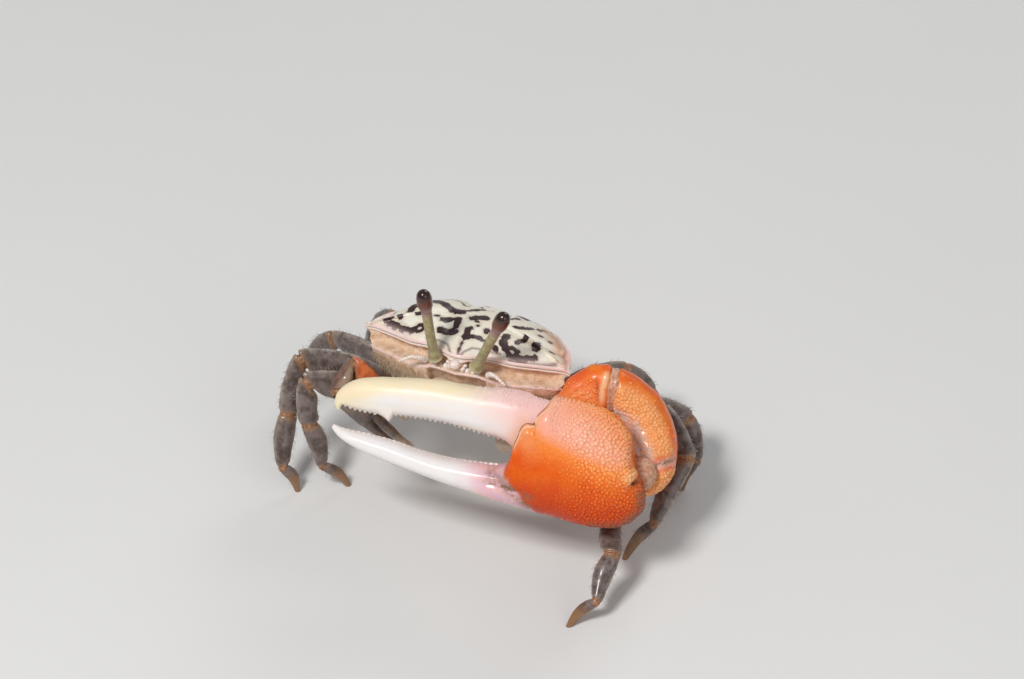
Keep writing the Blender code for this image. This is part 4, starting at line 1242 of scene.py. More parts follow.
PALM_HALF = (1.2, 2.2, 3.1, 3.8, 4.1, 4.2, 4.15, 4.1, 3.98, 3.85, 3.7, 3.52, 3.35, 3.15, 2.9, 2.55, 2.35, 2.2,
             2.0, 1.75, 1.4, 1.0, 0.35)
PALM_BLUNT = (0, 0, 0, 0, 0, 0, 0.15, 0.5, 0.9, 1, 1, 1, 1, 1, 0.6, 0, 0, 0, 0, 0, 0, 0, 0)
FINGER_UPPER = ((13.2, 6.2), (14.95, 6.4), (16.2, 6.75), (18.2, 6.85), (20.6, 6.6), (23.6, 6.5), (26.6, 6.5),
                (30.1, 6.2), (31.1, 6.05), (32.7, 5.83), (33.7, 5.68), (36.0, 5.1), (37.5, 4.2), (38.4, 3.1),
                (38.65, 2.0), (38.35, 1.2))
FINGER_LOWER = ((16.6, -0.1), (17.4, 0.5), (17.9, 0.85), (18.9, 1.1), (21.1, 1.35), (24.0, 1.7), (27.0, 1.85),
                (30.4, 1.75), (31.2, 1.66), (32.5, 1.5), (33.4, 1.43), (35.4, 1.5), (36.9, 1.65), (37.6, 1.7),
                (37.8, 1.35), (38.0, 0.95))
FINGER_HALF = (2.35, 2.5, 2.6, 2.5, 2.35, 2.25, 2.15, 2.0, 1.95, 1.87, 1.8, 1.5, 1.1, 0.8, 0.5, 0.16)
BUTTER_STATIONS = (15, 30, 38)
BUTTER_FROM = (4.5, 3.8, 2.0)
BUTTER_TO = (6.9, 6.4, 3.8)
FINGER_BASE_FLUSH = ((16.6, 0.4), (16.4, 2.2), (15.6, 3.6))
LARGE_TOOTH = ((31.3, 31.62, 31.85, 32.15, 32.6, 33.3), (0.0, 0.6, 0.95, 0.62, 0.3, 0.0))

# Rows of teeth: the edge, where along it the row runs and which way it points, then its pitch as a part of
# the setting, its width and its height.
TOOTH_ROWS = (("finger_teeth", FINGER_LOWER, 18.2, 31.3, -1, 0.92, 0.36, 0.42),
              ("finger_tip_teeth", FINGER_LOWER, 33.0, 37.3, -1, 0.85, 0.33, 0.36),
              ("palm_teeth", PALM_UPPER[15:], 18.6, 37.4, 1, 0.95, 0.33, 0.16))
PALM_FULLNESS = (1.08, 0.78)
FINGER_FULLNESS = (1.0, 0.9)
CLAW_EDGE_ROUND = (0.9, 0.85)
SHOULDER = 0.62
CLAW_STEPS = 8
FINGER_STEPS = 12
BUMP_SPACING = 0.32
CLAW_SIDES = 88

# Features of the palm, as along and up its face.
HINGE = ((13.0, 6.9), (13.45, 6.0), (14.1, 5.1), (14.3, 4.1), (15.3, 3.8), (16.0, 2.9), (16.3, 1.9),
         (16.6, 0.9))
# Where the painted shadow line of the hinge lies from the rim, as along and up.
SHADOW_LINE_SHIFT = (0.3, 0.15)
HINGE_LOBE = (15.2, 3.0)
GRAIN_MIDDLE = ((4.5, 2.0), (8.5, 3.0))
CONDYLE = (2.6, -0.35)
CONDYLE_PIT = (2.0, -1.15)
THUMB_GROOVE = ((19.2, -4.1), (17.2, -4.1), (15.3, -4.4), (13.4, -4.75))
THUMB_STAIN = ((18.8, -3.0), (17.2, -3.6), (15.6, -4.8), (14.0, -6.0))
THUMB_BORDER = ((10.3, -9.5), (11.9, -7.6), (13.0, -6.7), (14.2, -5.5), (15.5, -4.5), (16.5, -3.6),
                (17.2, -2.8), (17.4, 0.0))
PEACH_PATCH = ((13.0, 6.0), (12.0, 4.5), (8.0, 3.3), (4.2, 2.0))
BARE_LINE = ((12.0, 7.6), (12.5, 6.0), (12.3, 4.2), (11.6, 2.4), (10.6, 1.2), (10.2, -2.6), (10.8, -5.0),
             (9.6, -7.6))


def on_claw(along, up, out=0.0):
    """Places along the large claw, up its face and out of it."""
    along, up, out = (np.asarray(value, float)[..., None] for value in (along, up, out))
    return WRIST + CLAW_WAY * along + CLAW_UP * up + CLAW_OUT * out


def blade(upper, lower, half, fullness, steps, sides, blunt=None):
    """Rings of oval sections from a lower edge to an upper one, as along, up and out of the claw's face.

    Where blunt is 1, the upper edge has a square shoulder and not a round one.
    """
    blunt = np.zeros(len(half)) if blunt is None else blunt
    rows = smooth(np.column_stack([upper, lower, half, blunt]), steps)
    angle = 2 * math.pi * np.arange(sides) / sides
    cos, sin = np.cos(angle), np.sin(angle)
    power = 1 - SHOULDER * np.clip(rows[:, 5:], 0, 1) * (cos > 0)
    across = np.copysign(np.abs(cos) ** (CLAW_EDGE_ROUND[0] * power), cos)
    out = np.copysign(np.abs(sin) ** (CLAW_EDGE_ROUND[1] * power), sin)
    out = out * np.where(out > 0, *fullness) * rows[:, 4:5]
    middle, arm = (rows[:, :2] + rows[:, 2:4]) / 2, (rows[:, :2] - rows[:, 2:4]) / 2
    face = middle[:, None] + arm[:, None] * across[..., None]
    return np.concatenate([face, out[..., None]], axis=-1)


def claw_paint(settings):
    """Orange palm with grains that carry a painted highlight on their tips, a white finger and mud-stained
    joints.
    """
    paint = Paint("orange_claw", roughness=0.3, coat=0.35, subsurface=0.05, specular=0.1)
    orange = paint.mottle(2.6, 3, 0.3, 0.7, settings.orange, (0.86, 0.155, 0.008))
    orange = paint.mottle(0.45, 3, 0.45, 0.8, orange, (0.66, 0.065, 0.003), most=0.4)
    orange = paint.blend("deep", orange, (0.57, 0.045, 0.001))
    amber = paint.times("peach", 2.1)
    rosy = paint.times(paint.plus("peach", -0.46), 1.7)
    colour = paint.blend(rosy, paint.blend(amber, orange, (0.93, 0.26, 0.05)), settings.peach)
    # Grain tips: the paler colours here are a painted highlight on the tops of the grains.
    tips = paint.blend("deep", (0.95, 0.27, 0.04), (0.84, 0.13, 0.010))
    tips = paint.blend(rosy, paint.blend(amber, tips, (0.98, 0.42, 0.12)), settings.pale)
    colour = paint.blend(paint.span("tip", 0.1, 0.55, high=0.62), colour, tips)
    colour = paint.blend("cream", colour, (0.92, 0.52, 0.24))
    lilac = paint.mottle(1.2, 3, 0.3, 0.7, settings.lilac, settings.pink, stretch=0.3)
    colour = paint.blend("lilac", colour, lilac)
    white = paint.mottle(2.4, 2, 0.3, 0.8, settings.white, (0.86, 0.82, 0.82), stretch=0.3)
    colour = paint.blend("white", colour, white)
    colour = paint.blend(paint.patchy("stain", 0.5, 4, 0.25, 0.6), colour, settings.stain)
    # Painted shade: the sunken pit by the condyle is painted nearly black.
    paint.colour(paint.blend("pit_shade", colour, (0.03, 0.012, 0.008)))
    paint.gloss(0.35, 3, 0.2, 0.42)
    rough = paint.plus(paint.noise(0.22, 5), paint.cells(0.4, 0.6))
    paint.relief(paint.times(rough, paint.span("lilac", 0.0, 1.0, 1.0, 0.08)), 0.06)
    return paint.material


def finger_paint(settings):
    """White movable finger, butter yellow along its top and pink at its base."""
    paint = Paint("white_finger", roughness=0.4, coat=0.05, subsurface=0.12)
    streak = paint.noise(0.9, 4, 0.16)
    white = paint.blend(paint.span(streak, 0.35, 0.7), settings.white, (0.90, 0.82, 0.74))
    colour = paint.blend("pink", paint.blend("butter", white, settings.butter), settings.pink)
    colour = paint.blend("peach", colour, (0.90, 0.42, 0.26))
    paint.colour(paint.blend(paint.span("tip", 0.2, 0.6, high=0.5), colour, (0.96, 0.76, 0.70)))
    paint.gloss(0.3, 3, 0.36, 0.5)
    paint.relief(paint.plus(paint.noise(0.2, 2), streak), 0.012)
    return paint.material


def edge_of(pairs, start, end, steps=10):
    """The stretch of an edge between two places along the claw."""
    edge = smooth(pairs, steps)
    chosen = (edge[:, 0] >= start) & (edge[:, 0] <= end)
    return edge[chosen]


def palm_traits(rings):
    """Colours and cover of the palm and its fixed finger."""
    along, up, out = np.moveaxis(rings, -1, 0)
    face = np.stack([along, up], axis=-1)
    outer = fade(out, -0.4, 0.9)
    wander = 0.5 * grain(rings, 1.2, 8)
    bare = np.interp(up, [y for _, y in BARE_LINE[::-1]], [x for x, _ in BARE_LINE[::-1]])
    grained = 1 - fade(along + wander, bare - 0.4, bare + 0.7)
    large = 1 - fade(along + wander, bare - 3.4, bare + 0.4)
    sparse = 0.12 * (1 - fade(along, 14.0, 16.0)) * (1 - fade(up, 3.0, 5.0))
    border = np.interp(along, *np.transpose(THUMB_BORDER))
    crest = near(face, edge_of(PALM_UPPER[:8], 3.6, 12.4)[::4], 0.5) * (1 - fade(np.abs(out - 0.6), 0.8, 1.8))
    rear = near(face, ((1.0, -2.6), (0.8, -4.6), (2.6, -6.6), (6.3, -7.3)), 0.7)
    from_patch = from_line(face, PEACH_PATCH) * (1 - 0.4 * fade(up, 2.6, 5.0))
    pale = 0.8 * near(face, (CONDYLE,), 0.75) + 0.5 * near(face, HINGE, 0.5)
    pale = pale + 0.4 * hump(border - up, 0.4) * fade(along, 15.5, 17.5)
    pale = pale + 0.3 * near(face, ((15.8, 3.0), (14.8, 1.8)), 1.2)
    return {
        "cover": np.clip(np.maximum(grained, sparse), 0, 1) * (0.3 + 0.7 * fade(out, -1.5, 0.8)),
        "growth": 0.5 + large * (0.3 + 0.26 * outer * near(face, GRAIN_MIDDLE, 3.8)) + 0.3 * crest,
        "peach": hump(from_patch, 2.9) * (0.74 + 0.18 * fade(along, 3.0, 9.0)) * (0.3 + 0.7 * outer),
        "deep": 1 - fade(up, -6.6, 0.6),
        "cream": np.clip(pale, 0, 1) * outer,
        "lilac": fade(border - up + wander, -0.2, 0.5),
        "white": fade(along - 0.4 * (up + 4) + wander, 18.6, 23.5),
        "stain": np.clip(0.8 * rear + 0.72 * near(face, THUMB_STAIN, 0.75) * outer
                         + 0.5 * near(face, THUMB_GROOVE, 0.3) * outer, 0, 1),
        # Painted shade in the sunken pit by the condyle.
        "pit_shade": np.clip(near(face, (CONDYLE_PIT,), 0.26), 0, 1) * outer,
    }


def palm_relief(rings):
    """How far the palm's surface stands out at each place."""
    along, up, out = np.moveaxis(rings, -1, 0)
    face = np.stack([along, up], axis=-1)
    outer = fade(out, 0.2, 1.4)
    height = 0.2 * near(face, (HINGE_LOBE,), 0.9) * outer
    height += 0.45 * near(face, (CONDYLE,), 0.6) * outer
    height -= 0.45 * near(face, (CONDYLE_PIT,), 0.35) * outer
    height -= 0.26 * near(face, THUMB_GROOVE, 0.4) * outer
    height += 0.08 * hump(up - np.interp(along, (18, 38), (-3.4, -1.8)), 0.5) * fade(along, 17.5, 20.0)
    height += 0.05 * grain(rings, 1.4, 4) * (1 - fade(along, 15.0, 19.0))
    return height


class CRAB_OT_large_claw(bpy.types.Operator):
    """Builds the palm with its fixed finger, the movable finger, their teeth and grains."""

    bl_idname = "crab.large_claw"
    bl_label = "Large claw"

    def execute(self, context):
        settings = context.scene.crab_claw
        orange, white = claw_paint(settings), finger_paint(settings)
        self.build_palm(settings, orange)
        self.build_finger(settings.grain / MM, white)
        for name, edge, start, end, way, pitch, width, height in TOOTH_ROWS:
            line = edge_of(edge, start, end)
            path = on_claw(line[:, 0], line[:, 1] - way * 0.05)
            growth = 0.85 + 0.15 * hump(np.linspace(-1, 1, len(path)), 0.8)
            row = edge_row(name, path, CLAW_UP * way, growth, "tooth", white, settings.pitch / MM * pitch,
                           width, height, tangle=0.12, seed=5)
            hand_over(row, "claw" if way > 0 else "finger")
        return {"FINISHED"}

    def build_palm(self, settings, orange):
        """The palm with its grains, the pale rim of the finger's hinge on it, and a painted shadow line in the
        hinge's gap.
        """
        rings = blade(PALM_UPPER, PALM_LOWER, PALM_HALF, PALM_FULLNESS, CLAW_STEPS, CLAW_SIDES, PALM_BLUNT)
        places = swell(on_claw(*np.moveaxis(rings, -1, 0)), palm_relief(rings))
        palm = skin("palm", places, orange, palm_traits(rings))
        grains = scatter("palm_grains", palm, "bead", orange, settings.spacing / MM, settings.grain / MM,
                         seed=settings.seed)
        hand_over(palm, "claw", "major_palm")
        hand_over(grains, "claw")
        cream = Paint("hinge_rim", roughness=0.25, coat=0.3, subsurface=0.1)
        cream.colour(cream.blend(cream.noise(0.8, 3), (0.90, 0.36, 0.15), (0.92, 0.56, 0.40)))
        places, ways = laid_on(palm, on_claw(*np.transpose(HINGE), 3.4), 8)
        taper = np.sin(np.linspace(0.12, math.pi - 0.12, len(places))) ** 0.4
        hand_over(tube("hinge_rim", places - ways * 0.06, 0.2 * taper, 14, cream.material), "claw")
        # A thin dark tube laid on the palm beside the rim: a painted shadow line in the gap between palm and
        # finger.
        painted_shade = Paint("hinge_seam", roughness=0.5)
        painted_shade.colour((0.30, 0.12, 0.07))
        places, ways = laid_on(palm, on_claw(*np.transpose(HINGE + np.array(SHADOW_LINE_SHIFT)), 2.75), 8)
        hand_over(tube("hinge_seam", places, 0.1 * taper, 10, painted_shade.material), "claw")

    def build_finger(self, grain_size, white):
        """The movable finger with its one large tooth and the bumps of its base."""
        rings = blade(FINGER_UPPER, FINGER_LOWER, FINGER_HALF, FINGER_FULLNESS, FINGER_STEPS, CLAW_SIDES)
        along, up, out = np.moveaxis(rings, -1, 0)
        low_edge = 1 - fade(up - np.interp(along, *np.transpose(FINGER_LOWER)), 0.0, 0.9)
        up = up - np.interp(along, *LARGE_TOOTH) * low_edge
        middle, top = (np.interp(along, BUTTER_STATIONS, heights) for heights in (BUTTER_FROM, BUTTER_TO))
        base = 1 - fade(along - 0.5 * (up - 3), 15.5, 23.0)
        height = -0.06 * hump(up - np.interp(along, (17, 38), (3.6, 2.4)), 0.35) * fade(along, 19.0, 22.0)
        height += 0.05 * grain(rings, 1.5, 9) * base
        butter = fade(up, middle, top) * fade(along, 17.0, 25.0) + 0.7 * fade(along, 32.0, 38.0)
        traits = {
            "butter": np.clip(butter, 0, 0.8),
            "pink": 0.85 * base * (0.45 + 0.55 * fade(up, 2.0, 6.0)),
            "peach": 0.55 * near(np.stack([along, up], axis=-1), FINGER_BASE_FLUSH, 1.2),
            "cover": base * fade(up, 5.2, 6.4),
            "growth": 0.6,
        }
        finger = skin("movable_finger", swell(on_claw(along, up, out), height), white, traits)
        bumps = scatter("finger_bumps", finger, "bead", white, BUMP_SPACING, grain_size, seed=8)
        hand_over(finger, "finger", "major_finger")
        hand_over(bumps, "finger")


# Limbs.
FLOOR = -STANCE_HEIGHT
LEG_ROOTS = {"1": (10.0, -4.2, -9.8), "2": (10.3, -7.6, -9.7), "3": (9.9, -11.0, -9.6),
             "4": (8.4, -14.0, -9.4)}
LEG_JOINTS = {
    "left_leg_1": ((21.3, -4.4, -14.9), (23.2, -10.1, -15.7), (22.9, -14.9, -18.9), (20.3, -17.0, FLOOR)),
    "left_leg_2": ((22.8, 8.7, -9.0), (27.2, 4.8, -12.0), (25.5, -1.7, -17.2), (22.7, -3.8, FLOOR)),
    "left_leg_3": ((20.2, 12.0, -11.2), (24.2, 14.1, -14.2), (26.2, 12.3, -18.6), (25.2, 10.2, FLOOR)),
    "left_leg_4": ((15.4, 17.2, -11.4), (18.3, 18.2, -15.0), (19.7, 17.0, -19.0), (18.6, 16.2, FLOOR)),
    "right_leg_1": ((-17.8, -2.6, -7.4), (-17.5, -3.6, -12.8), (-15.6, -4.4, -18.2), (-13.0, -2.9, FLOOR)),
    "right_leg_2": ((-19.6, -0.2, -6.4), (-20.5, -2.9, -12.6), (-19.9, -6.5, -17.9), (-18.4, -5.9, FLOOR)),
    "right_leg_3": ((-19.8, 10.6, -11.4), (-22.6, 11.0, -15.2), (-22.7, 12.5, -19.2), (-21.2, 13.6, FLOOR)),
    "right_leg_4": ((-14.4, 16.6, -11.2), (-17.4, 18.3, -14.4), (-18.7, 18.4, -18.8), (-17.6, 18.8, FLOOR)),
}
LEG_BULK = {"1": 0.92, "2": 1.0, "3": 1.0, "4": 0.8}
MERUS_PROFILE = ((0, 1.1, 0.8), (0.15, 1.65, 0.95), (0.45, 2.05, 1.05), (0.8, 1.75, 0.95), (1, 1.3, 0.85))
CARPUS_PROFILE = ((0, 1.15, 0.8), (0.4, 1.4, 0.9), (0.8, 1.4, 0.9), (1, 1.25, 0.8))
PROPODUS_PROFILE = ((0, 1.15, 0.76), (0.35, 1.3, 0.8), (0.8, 1.0, 0.68), (1, 0.8, 0.58))
DACTYL_PROFILE = ((0, 0.7, 0.52), (0.25, 0.8, 0.54), (0.65, 0.55, 0.42), (1, 0.32, 0.3))
LEG_PARTS = (("merus", MERUS_PROFILE, 0.35), ("carpus", CARPUS_PROFILE, 0.3),
             ("propodus", PROPODUS_PROFILE, 0.25), ("dactyl", DACTYL_PROFILE, 0.35))
MAJOR_ROOT = on_body((8.4, -1.5, -9.4))
MAJOR_ELBOW = np.array([18.3, 3.6, -3.0])
MAJOR_BEND = np.array([20.8, 3.8, -5.2])
MAJOR_WRIST_SKIN = np.array([24.2, -3.6, -8.2])
CARPUS_CREST = np.array([0.75, 0.2, 0.63])
WORN_BAND = ((19.4, 1.3, -4.5), (20.5, 0.9, -4.7), (21.5, 0.4, -5.0), (22.8, -0.7, -6.0), (24.0, -2.0, -7.0),
             (24.6, -2.6, -7.9))
FURROW = ((24.6, -2.6, -7.9), (25.2, -2.4, -7.8), (26.2, -2.1, -7.4), (26.8, -1.1, -7.7), (27.3, 0.3, -8.2))
FACET_EDGES = (((13.6, 0.8, -2.9), (14.7, 1.3, -1.9), (15.6, 1.7, -1.2), (16.5, 2.1, -0.5)),
               ((16.55, 2.1, -0.5), (17.0, 1.3, -1.3), (17.3, 0.8, -2.7)),
               ((14.3, 0.8, -2.9), (15.6, 0.9, -2.1), (16.6, 1.2, -1.4)),
               ((15.2, 0.6, -3.2), (16.2, 0.8, -2.5), (17.0, 1.0, -2.0)))
FACET_MIDDLE = ((14.9, 0.8, -2.7), (16.3, 1.1, -2.1))
ELBOW_RIDGE = ((17.9, 2.6, 0.1), (17.8, 1.5, -0.9), (17.8, 1.0, -2.4))
ELBOW_SLIT = ((16.8, 2.0, -0.6), (17.2, 1.3, -1.4), (17.4, 0.9, -2.5))
ARM_SHOULDER = ((13.9, 2.3, -2.1), (14.9, 3.1, -1.5), (15.9, 3.6, -0.9))
ARM_PROFILE = ((0, 1.3, 1.3), (0.3, 2.0, 1.8), (0.7, 3.0, 2.2), (0.92, 3.3, 2.4), (1, 3.1, 2.3))
MINOR_ROOT = on_body((-8.0, -1.8, -9.2))
MINOR_ELBOW = np.array([-13.0, -0.6, -4.9])
MINOR_WRIST = np.array([-14.0, -3.2, -6.8])
MINOR_TIP = np.array([-5.7, -3.4, -13.0])
MINOR_MERUS_PROFILE = ((0, 0.9, 0.8), (0.4, 1.4, 1.0), (0.8, 1.6, 1.1), (1, 1.3, 1.0))
MINOR_CARPUS_PROFILE = ((0, 1.2, 0.9), (0.5, 1.5, 1.1), (1, 1.2, 0.95))
HAND_UPPER = ((1.15, 0.7), (2.4, 1.3), (4.6, 1.35), (5.6, 0.1), (7.6, -0.35), (10.0, -0.25), (11.9, -0.1))
HAND_LOWER = ((0.25, -0.9), (1.6, -1.4), (4.2, -1.5), (5.8, -1.35), (7.8, -1.2), (10.0, -1.05), (11.9, -0.75))
HAND_HALF = (0.75, 1.05, 1.1, 0.8, 0.55, 0.5, 0.4)
THUMB_UPPER = ((5.0, 1.3), (6.6, 1.35), (9.0, 1.2), (11.2, 0.9), (12.1, 0.6))
THUMB_LOWER = ((6.1, 0.36), (7.6, 0.32), (9.2, 0.35), (11.2, 0.3), (12.1, 0.25))
THUMB_HALF = (0.6, 0.6, 0.5, 0.45, 0.3)
SEGMENT_LEVELS = 40
SEGMENT_SIDES = 32
END_ROUND = 0.07
TIP_ROUND = 0.04
LEG_HAIR_SPACING = 0.3
ARM_GRAIN_SPACING = 0.38
WRIST_GRAIN_SPACING = 0.39
FACET_BEADS = (0.38, 0.22, 0.36)
HAND_HAIR_SPACING = 0.22
HAND_HAIR_LENGTH = 0.6


def face_between(before, joint, after):
    """The direction square to the face of a joint, halfway between the two segments."""
    return unit(unit(joint - before) + unit(after - joint))


def limb(start, end, faces, wide, profile, bow=0.0, gaps=(0.5, 0.5), keel=0.0, levels=SEGMENT_LEVELS,
         blunt=END_ROUND):
    """Rings of a segment between two joint faces, how far along each is, and the places' angles round it."""
    along = unit(end - start)
    thin = unit(np.cross(along, wide))
    wide = np.cross(thin, along)
    profile = np.asarray(profile)
    part = (1 - np.cos(np.linspace(0, math.pi, levels))) / 2
    part = 0.5 * part + 0.5 * np.linspace(0, 1, levels)
    deep, thick = through(profile[:, 1:], profile[:, 0], part).T
    near = np.minimum(part, 1 - part) / blunt
    close = 0.78 + 0.22 * np.sqrt(np.clip(1 - (1 - np.clip(near, 0, 1)) ** 2, 0, 1))
    angle = 2 * math.pi * (np.arange(SEGMENT_SIDES) + 0.5) / SEGMENT_SIDES
    lens = np.sin(angle) * (1 - keel * np.cos(angle) ** 2)
    offset = (wide * (deep * close)[:, None, None] * np.cos(angle)[:, None]
              + thin * (thick * close)[:, None, None] * lens[:, None])
    first = (-(offset @ faces[0]) + JOINT_GAP * gaps[0]) / along.dot(faces[0])
    last = np.linalg.norm(end - start) + (-(offset @ faces[1]) - JOINT_GAP * gaps[1]) / along.dot(faces[1])
    reach = first + (last - first) * part[:, None]
    arch = (wide * bow * np.sin(math.pi * part)[:, None])[:, None]
    return start + along * reach[..., None] + offset + arch, part[:, None], angle[None]


def leg_paint(settings):
    """Wet slate-purple leg with pale edges and tan joints."""
    paint = Paint("slate_leg", roughness=0.3, coat=0.4)
    colour = paint.mottle(1.3, 4, 0.38, 0.62, settings.slate, settings.dusk)
    colour = paint.mottle(0.5, 5, 0.56, 0.75, colour, (0.24, 0.21, 0.21), most=0.55)
    colour = paint.blend(paint.patchy("edge", 0.6, 3, 0.25, 0.6), colour, settings.rim)
    paint.colour(paint.blend("tan", colour, settings.tan))
    paint.gloss(0.5, 4, 0.18, 0.5)
    paint.relief(paint.plus(paint.noise(0.16, 3), paint.cells(0.3)), 0.02)
    return paint.material


def folded_paint(name, roughness, coat, size, painted_shade, pale, depth):
    """Soft folded skin between two hard pieces, with painted shade in its folds: dark where the bump sinks."""
    paint = Paint(name, roughness, coat, subsurface=0.1)
    fold = paint.noise(size, 4)
    # Painted shade: where the fold bump is low the skin takes the dark colour, and where it is high the pale
    # one.
    paint.colour(paint.blend(paint.span(fold, 0.3, 0.7), painted_shade, pale))
    paint.relief(fold, depth)
    return paint.material


def joint_skin():
    """The skin in the joints of the legs and the small claw, made when it is first asked for."""
    made = bpy.data.materials.get("joint_skin")
    # Its darker colour is painted shade in the folds.
    return made or folded_paint("joint_skin", 0.42, 0.3, 0.3, (0.16, 0.075, 0.035), (0.42, 0.20, 0.09), 0.04)


def cushion(name, middle, way, wide, sizes, material, reach=0.6, fold=0.05):
    """The soft skin of a joint: a short barrel across the gap, a little smaller than the segments' ends."""
    thin = unit(np.cross(way, wide))
    wide = np.cross(thin, way)
    part = np.linspace(-1, 1, 13)
    girth = 0.93 - 0.18 * np.abs(part) ** 3 - fold * np.cos(part * 9)
    turn = 2 * math.pi * np.arange(24) / 24
    round_way = wide * sizes[0] * np.cos(turn)[:, None] + thin * sizes[1] * np.sin(turn)[:, None]
    rings = middle + way * (part * reach)[:, None, None] + round_way * girth[:, None, None]
    return skin(name, rings, material)


def leg_surface(part_name, rings, part, angle, way, seed):
    """The relief of a leg's segment, and its colours and hair."""
    tip = part_name == "dactyl"
    ridge = hump(np.sin(angle) - 0.2, 0.12) + hump(np.sin(angle) + 0.5, 0.12)
    height = (0.05 if tip else 0.035) * ridge * np.sin(math.pi * part)
    height = (height + 0.03 * grain(rings, 0.8, seed)) * fade(1 - part, 0.0, 0.08)
    joint_tan = 0.7 * hump(part - 0.04, 0.06) + 0.5 * hump(part - 1, 0.05)
    tan = 0.85 * fade(part, 0.1, 0.6) if tip else joint_tan
    if part_name == "propodus":
        tan = tan + 0.55 * hump(np.sin(angle) - 0.1, 0.25) * fade(part, 0.2, 0.5)
    edge = (0.2 if tip else 0.75) * np.abs(np.cos(angle)) ** 5
    ends = np.maximum(1 - fade(part, 0.0, 0.10), fade(part, 0.92, 1.0))
    bare_from = 0.45 if tip else 0.82
    hairy = fade(np.abs(np.cos(angle)), 0.8, 0.97) * fade(part, 0.06, 0.2)
    hairy = hairy * (1 - fade(part, bare_from, bare_from + 0.14))
    traits = {"edge": np.clip(edge + 0.35 * ends, 0, 1), "tan": np.clip(tan, 0, 1), "cover": 0.55 * hairy,
              "comb": way * 0.9}
    return height, traits


class CRAB_OT_legs(bpy.types.Operator):
    """Builds the eight walking legs with their joints and hairs."""

    bl_idname = "crab.legs"
    bl_label = "Walking legs"

    def execute(self, context):
        settings = context.scene.crab_legs
        slate, soft = leg_paint(settings), joint_skin()
        hairs = tipped_paint("leg_hair", 0.6, 0.0, (0.22, 0.17, 0.14), (0.58, 0.50, 0.42))
        skins, tufts = [], []
        for name, places in LEG_JOINTS.items():
            self.build_leg(name, [np.array(place) for place in places], slate, soft, skins, tufts)
        hand_over(joined("leg_joint_skins", skins), "leg")
        lay_side_by_side(tufts)
        coat = joined("leg_hair_source", tufts)
        grown = scatter("leg_hairs", coat, "hair", hairs, LEG_HAIR_SPACING, settings.hair / MM, 0.3, seed=9)
        bpy.data.objects.remove(coat)
        hand_over(grown, "leg")
        return {"FINISHED"}

    def build_leg(self, name, joints, slate, soft, skins, tufts):
        """The four segments of one leg. Their joints' skins and hairy copies go on the lists."""
        across, forward, up = LEG_ROOTS[name[-1]]
        root = on_body((across if name.startswith("left") else -across, forward, up))
        joints = [root, *joints]
        size = LEG_BULK[name[-1]]
        plane = unit(np.cross(joints[1] - joints[0], joints[3] - joints[1]))
        faces = [face_between(*joints[i - 1:i + 2]) for i in (1, 2, 3)]
        faces = [unit(joints[1] - joints[0]), *faces, -UP]
        for i, (part_name, profile, bow) in enumerate(LEG_PARTS):
            profile = np.array(profile) * (1, size, size)
            way = unit(joints[i + 1] - joints[i])
            wide = np.cross(plane, way)
            if wide[2] < 0:
                wide = -wide
            tip = part_name == "dactyl"
            rings, part, angle = limb(joints[i], joints[i + 1], (faces[i], faces[i + 1]), wide, profile, bow,
                                      (0.5, 0.0 if tip else 0.5), keel=0.3 if part_name == "merus" else 0.12,
                                      blunt=TIP_ROUND if tip else END_ROUND)
            height, traits = leg_surface(part_name, rings, part, angle, way, i)
            segment = skin(f"{name}_{part_name}_shell", swell(rings, height), slate, traits)
            hand_over(segment, "leg", f"{name}_{part_name}")
            tufts.append(link(segment.data.copy(), "tuft"))
            if i:
                end = np.minimum(profile[0, 1:], np.array(LEG_PARTS[i - 1][1])[-1, 1:] * size)
                skins.append(cushion("joint", joints[i], faces[i], wide, end, soft))


def arm_paint(settings):
    """Orange arm: smooth and bright outside, grainy and worn grey beside the palm."""
    paint = Paint("orange_arm", roughness=0.3, coat=0.35, subsurface=0.05, specular=0.15)
    orange = paint.mottle(2.2, 3, 0.3, 0.7, settings.orange, (0.88, 0.20, 0.014))
    rough = paint.mottle(0.7, 4, 0.3, 0.7, (0.84, 0.30, 0.09), (0.93, 0.42, 0.16))
    colour = paint.blend("grainy", orange, rough)
    # Painted highlight: the tips of the grains are paler.
    colour = paint.blend(paint.span("tip", 0.1, 0.55, high=0.4), colour, (0.96, 0.44, 0.17))
    colour = paint.blend("pale", colour, (0.88, 0.55, 0.30))
    colour = paint.blend(paint.patchy("worn", 0.6, 5, 0.2, 0.55), colour, (0.70, 0.48, 0.39))
    paint.colour(paint.blend(paint.patchy("stain", 0.5, 4, 0.3, 0.6), colour, settings.stain))
    paint.gloss(0.4, 3, 0.24, 0.5)
    paint.relief(paint.plus(paint.noise(0.2, 4), paint.noise(0.6, 2)), 0.03)
    return paint.material


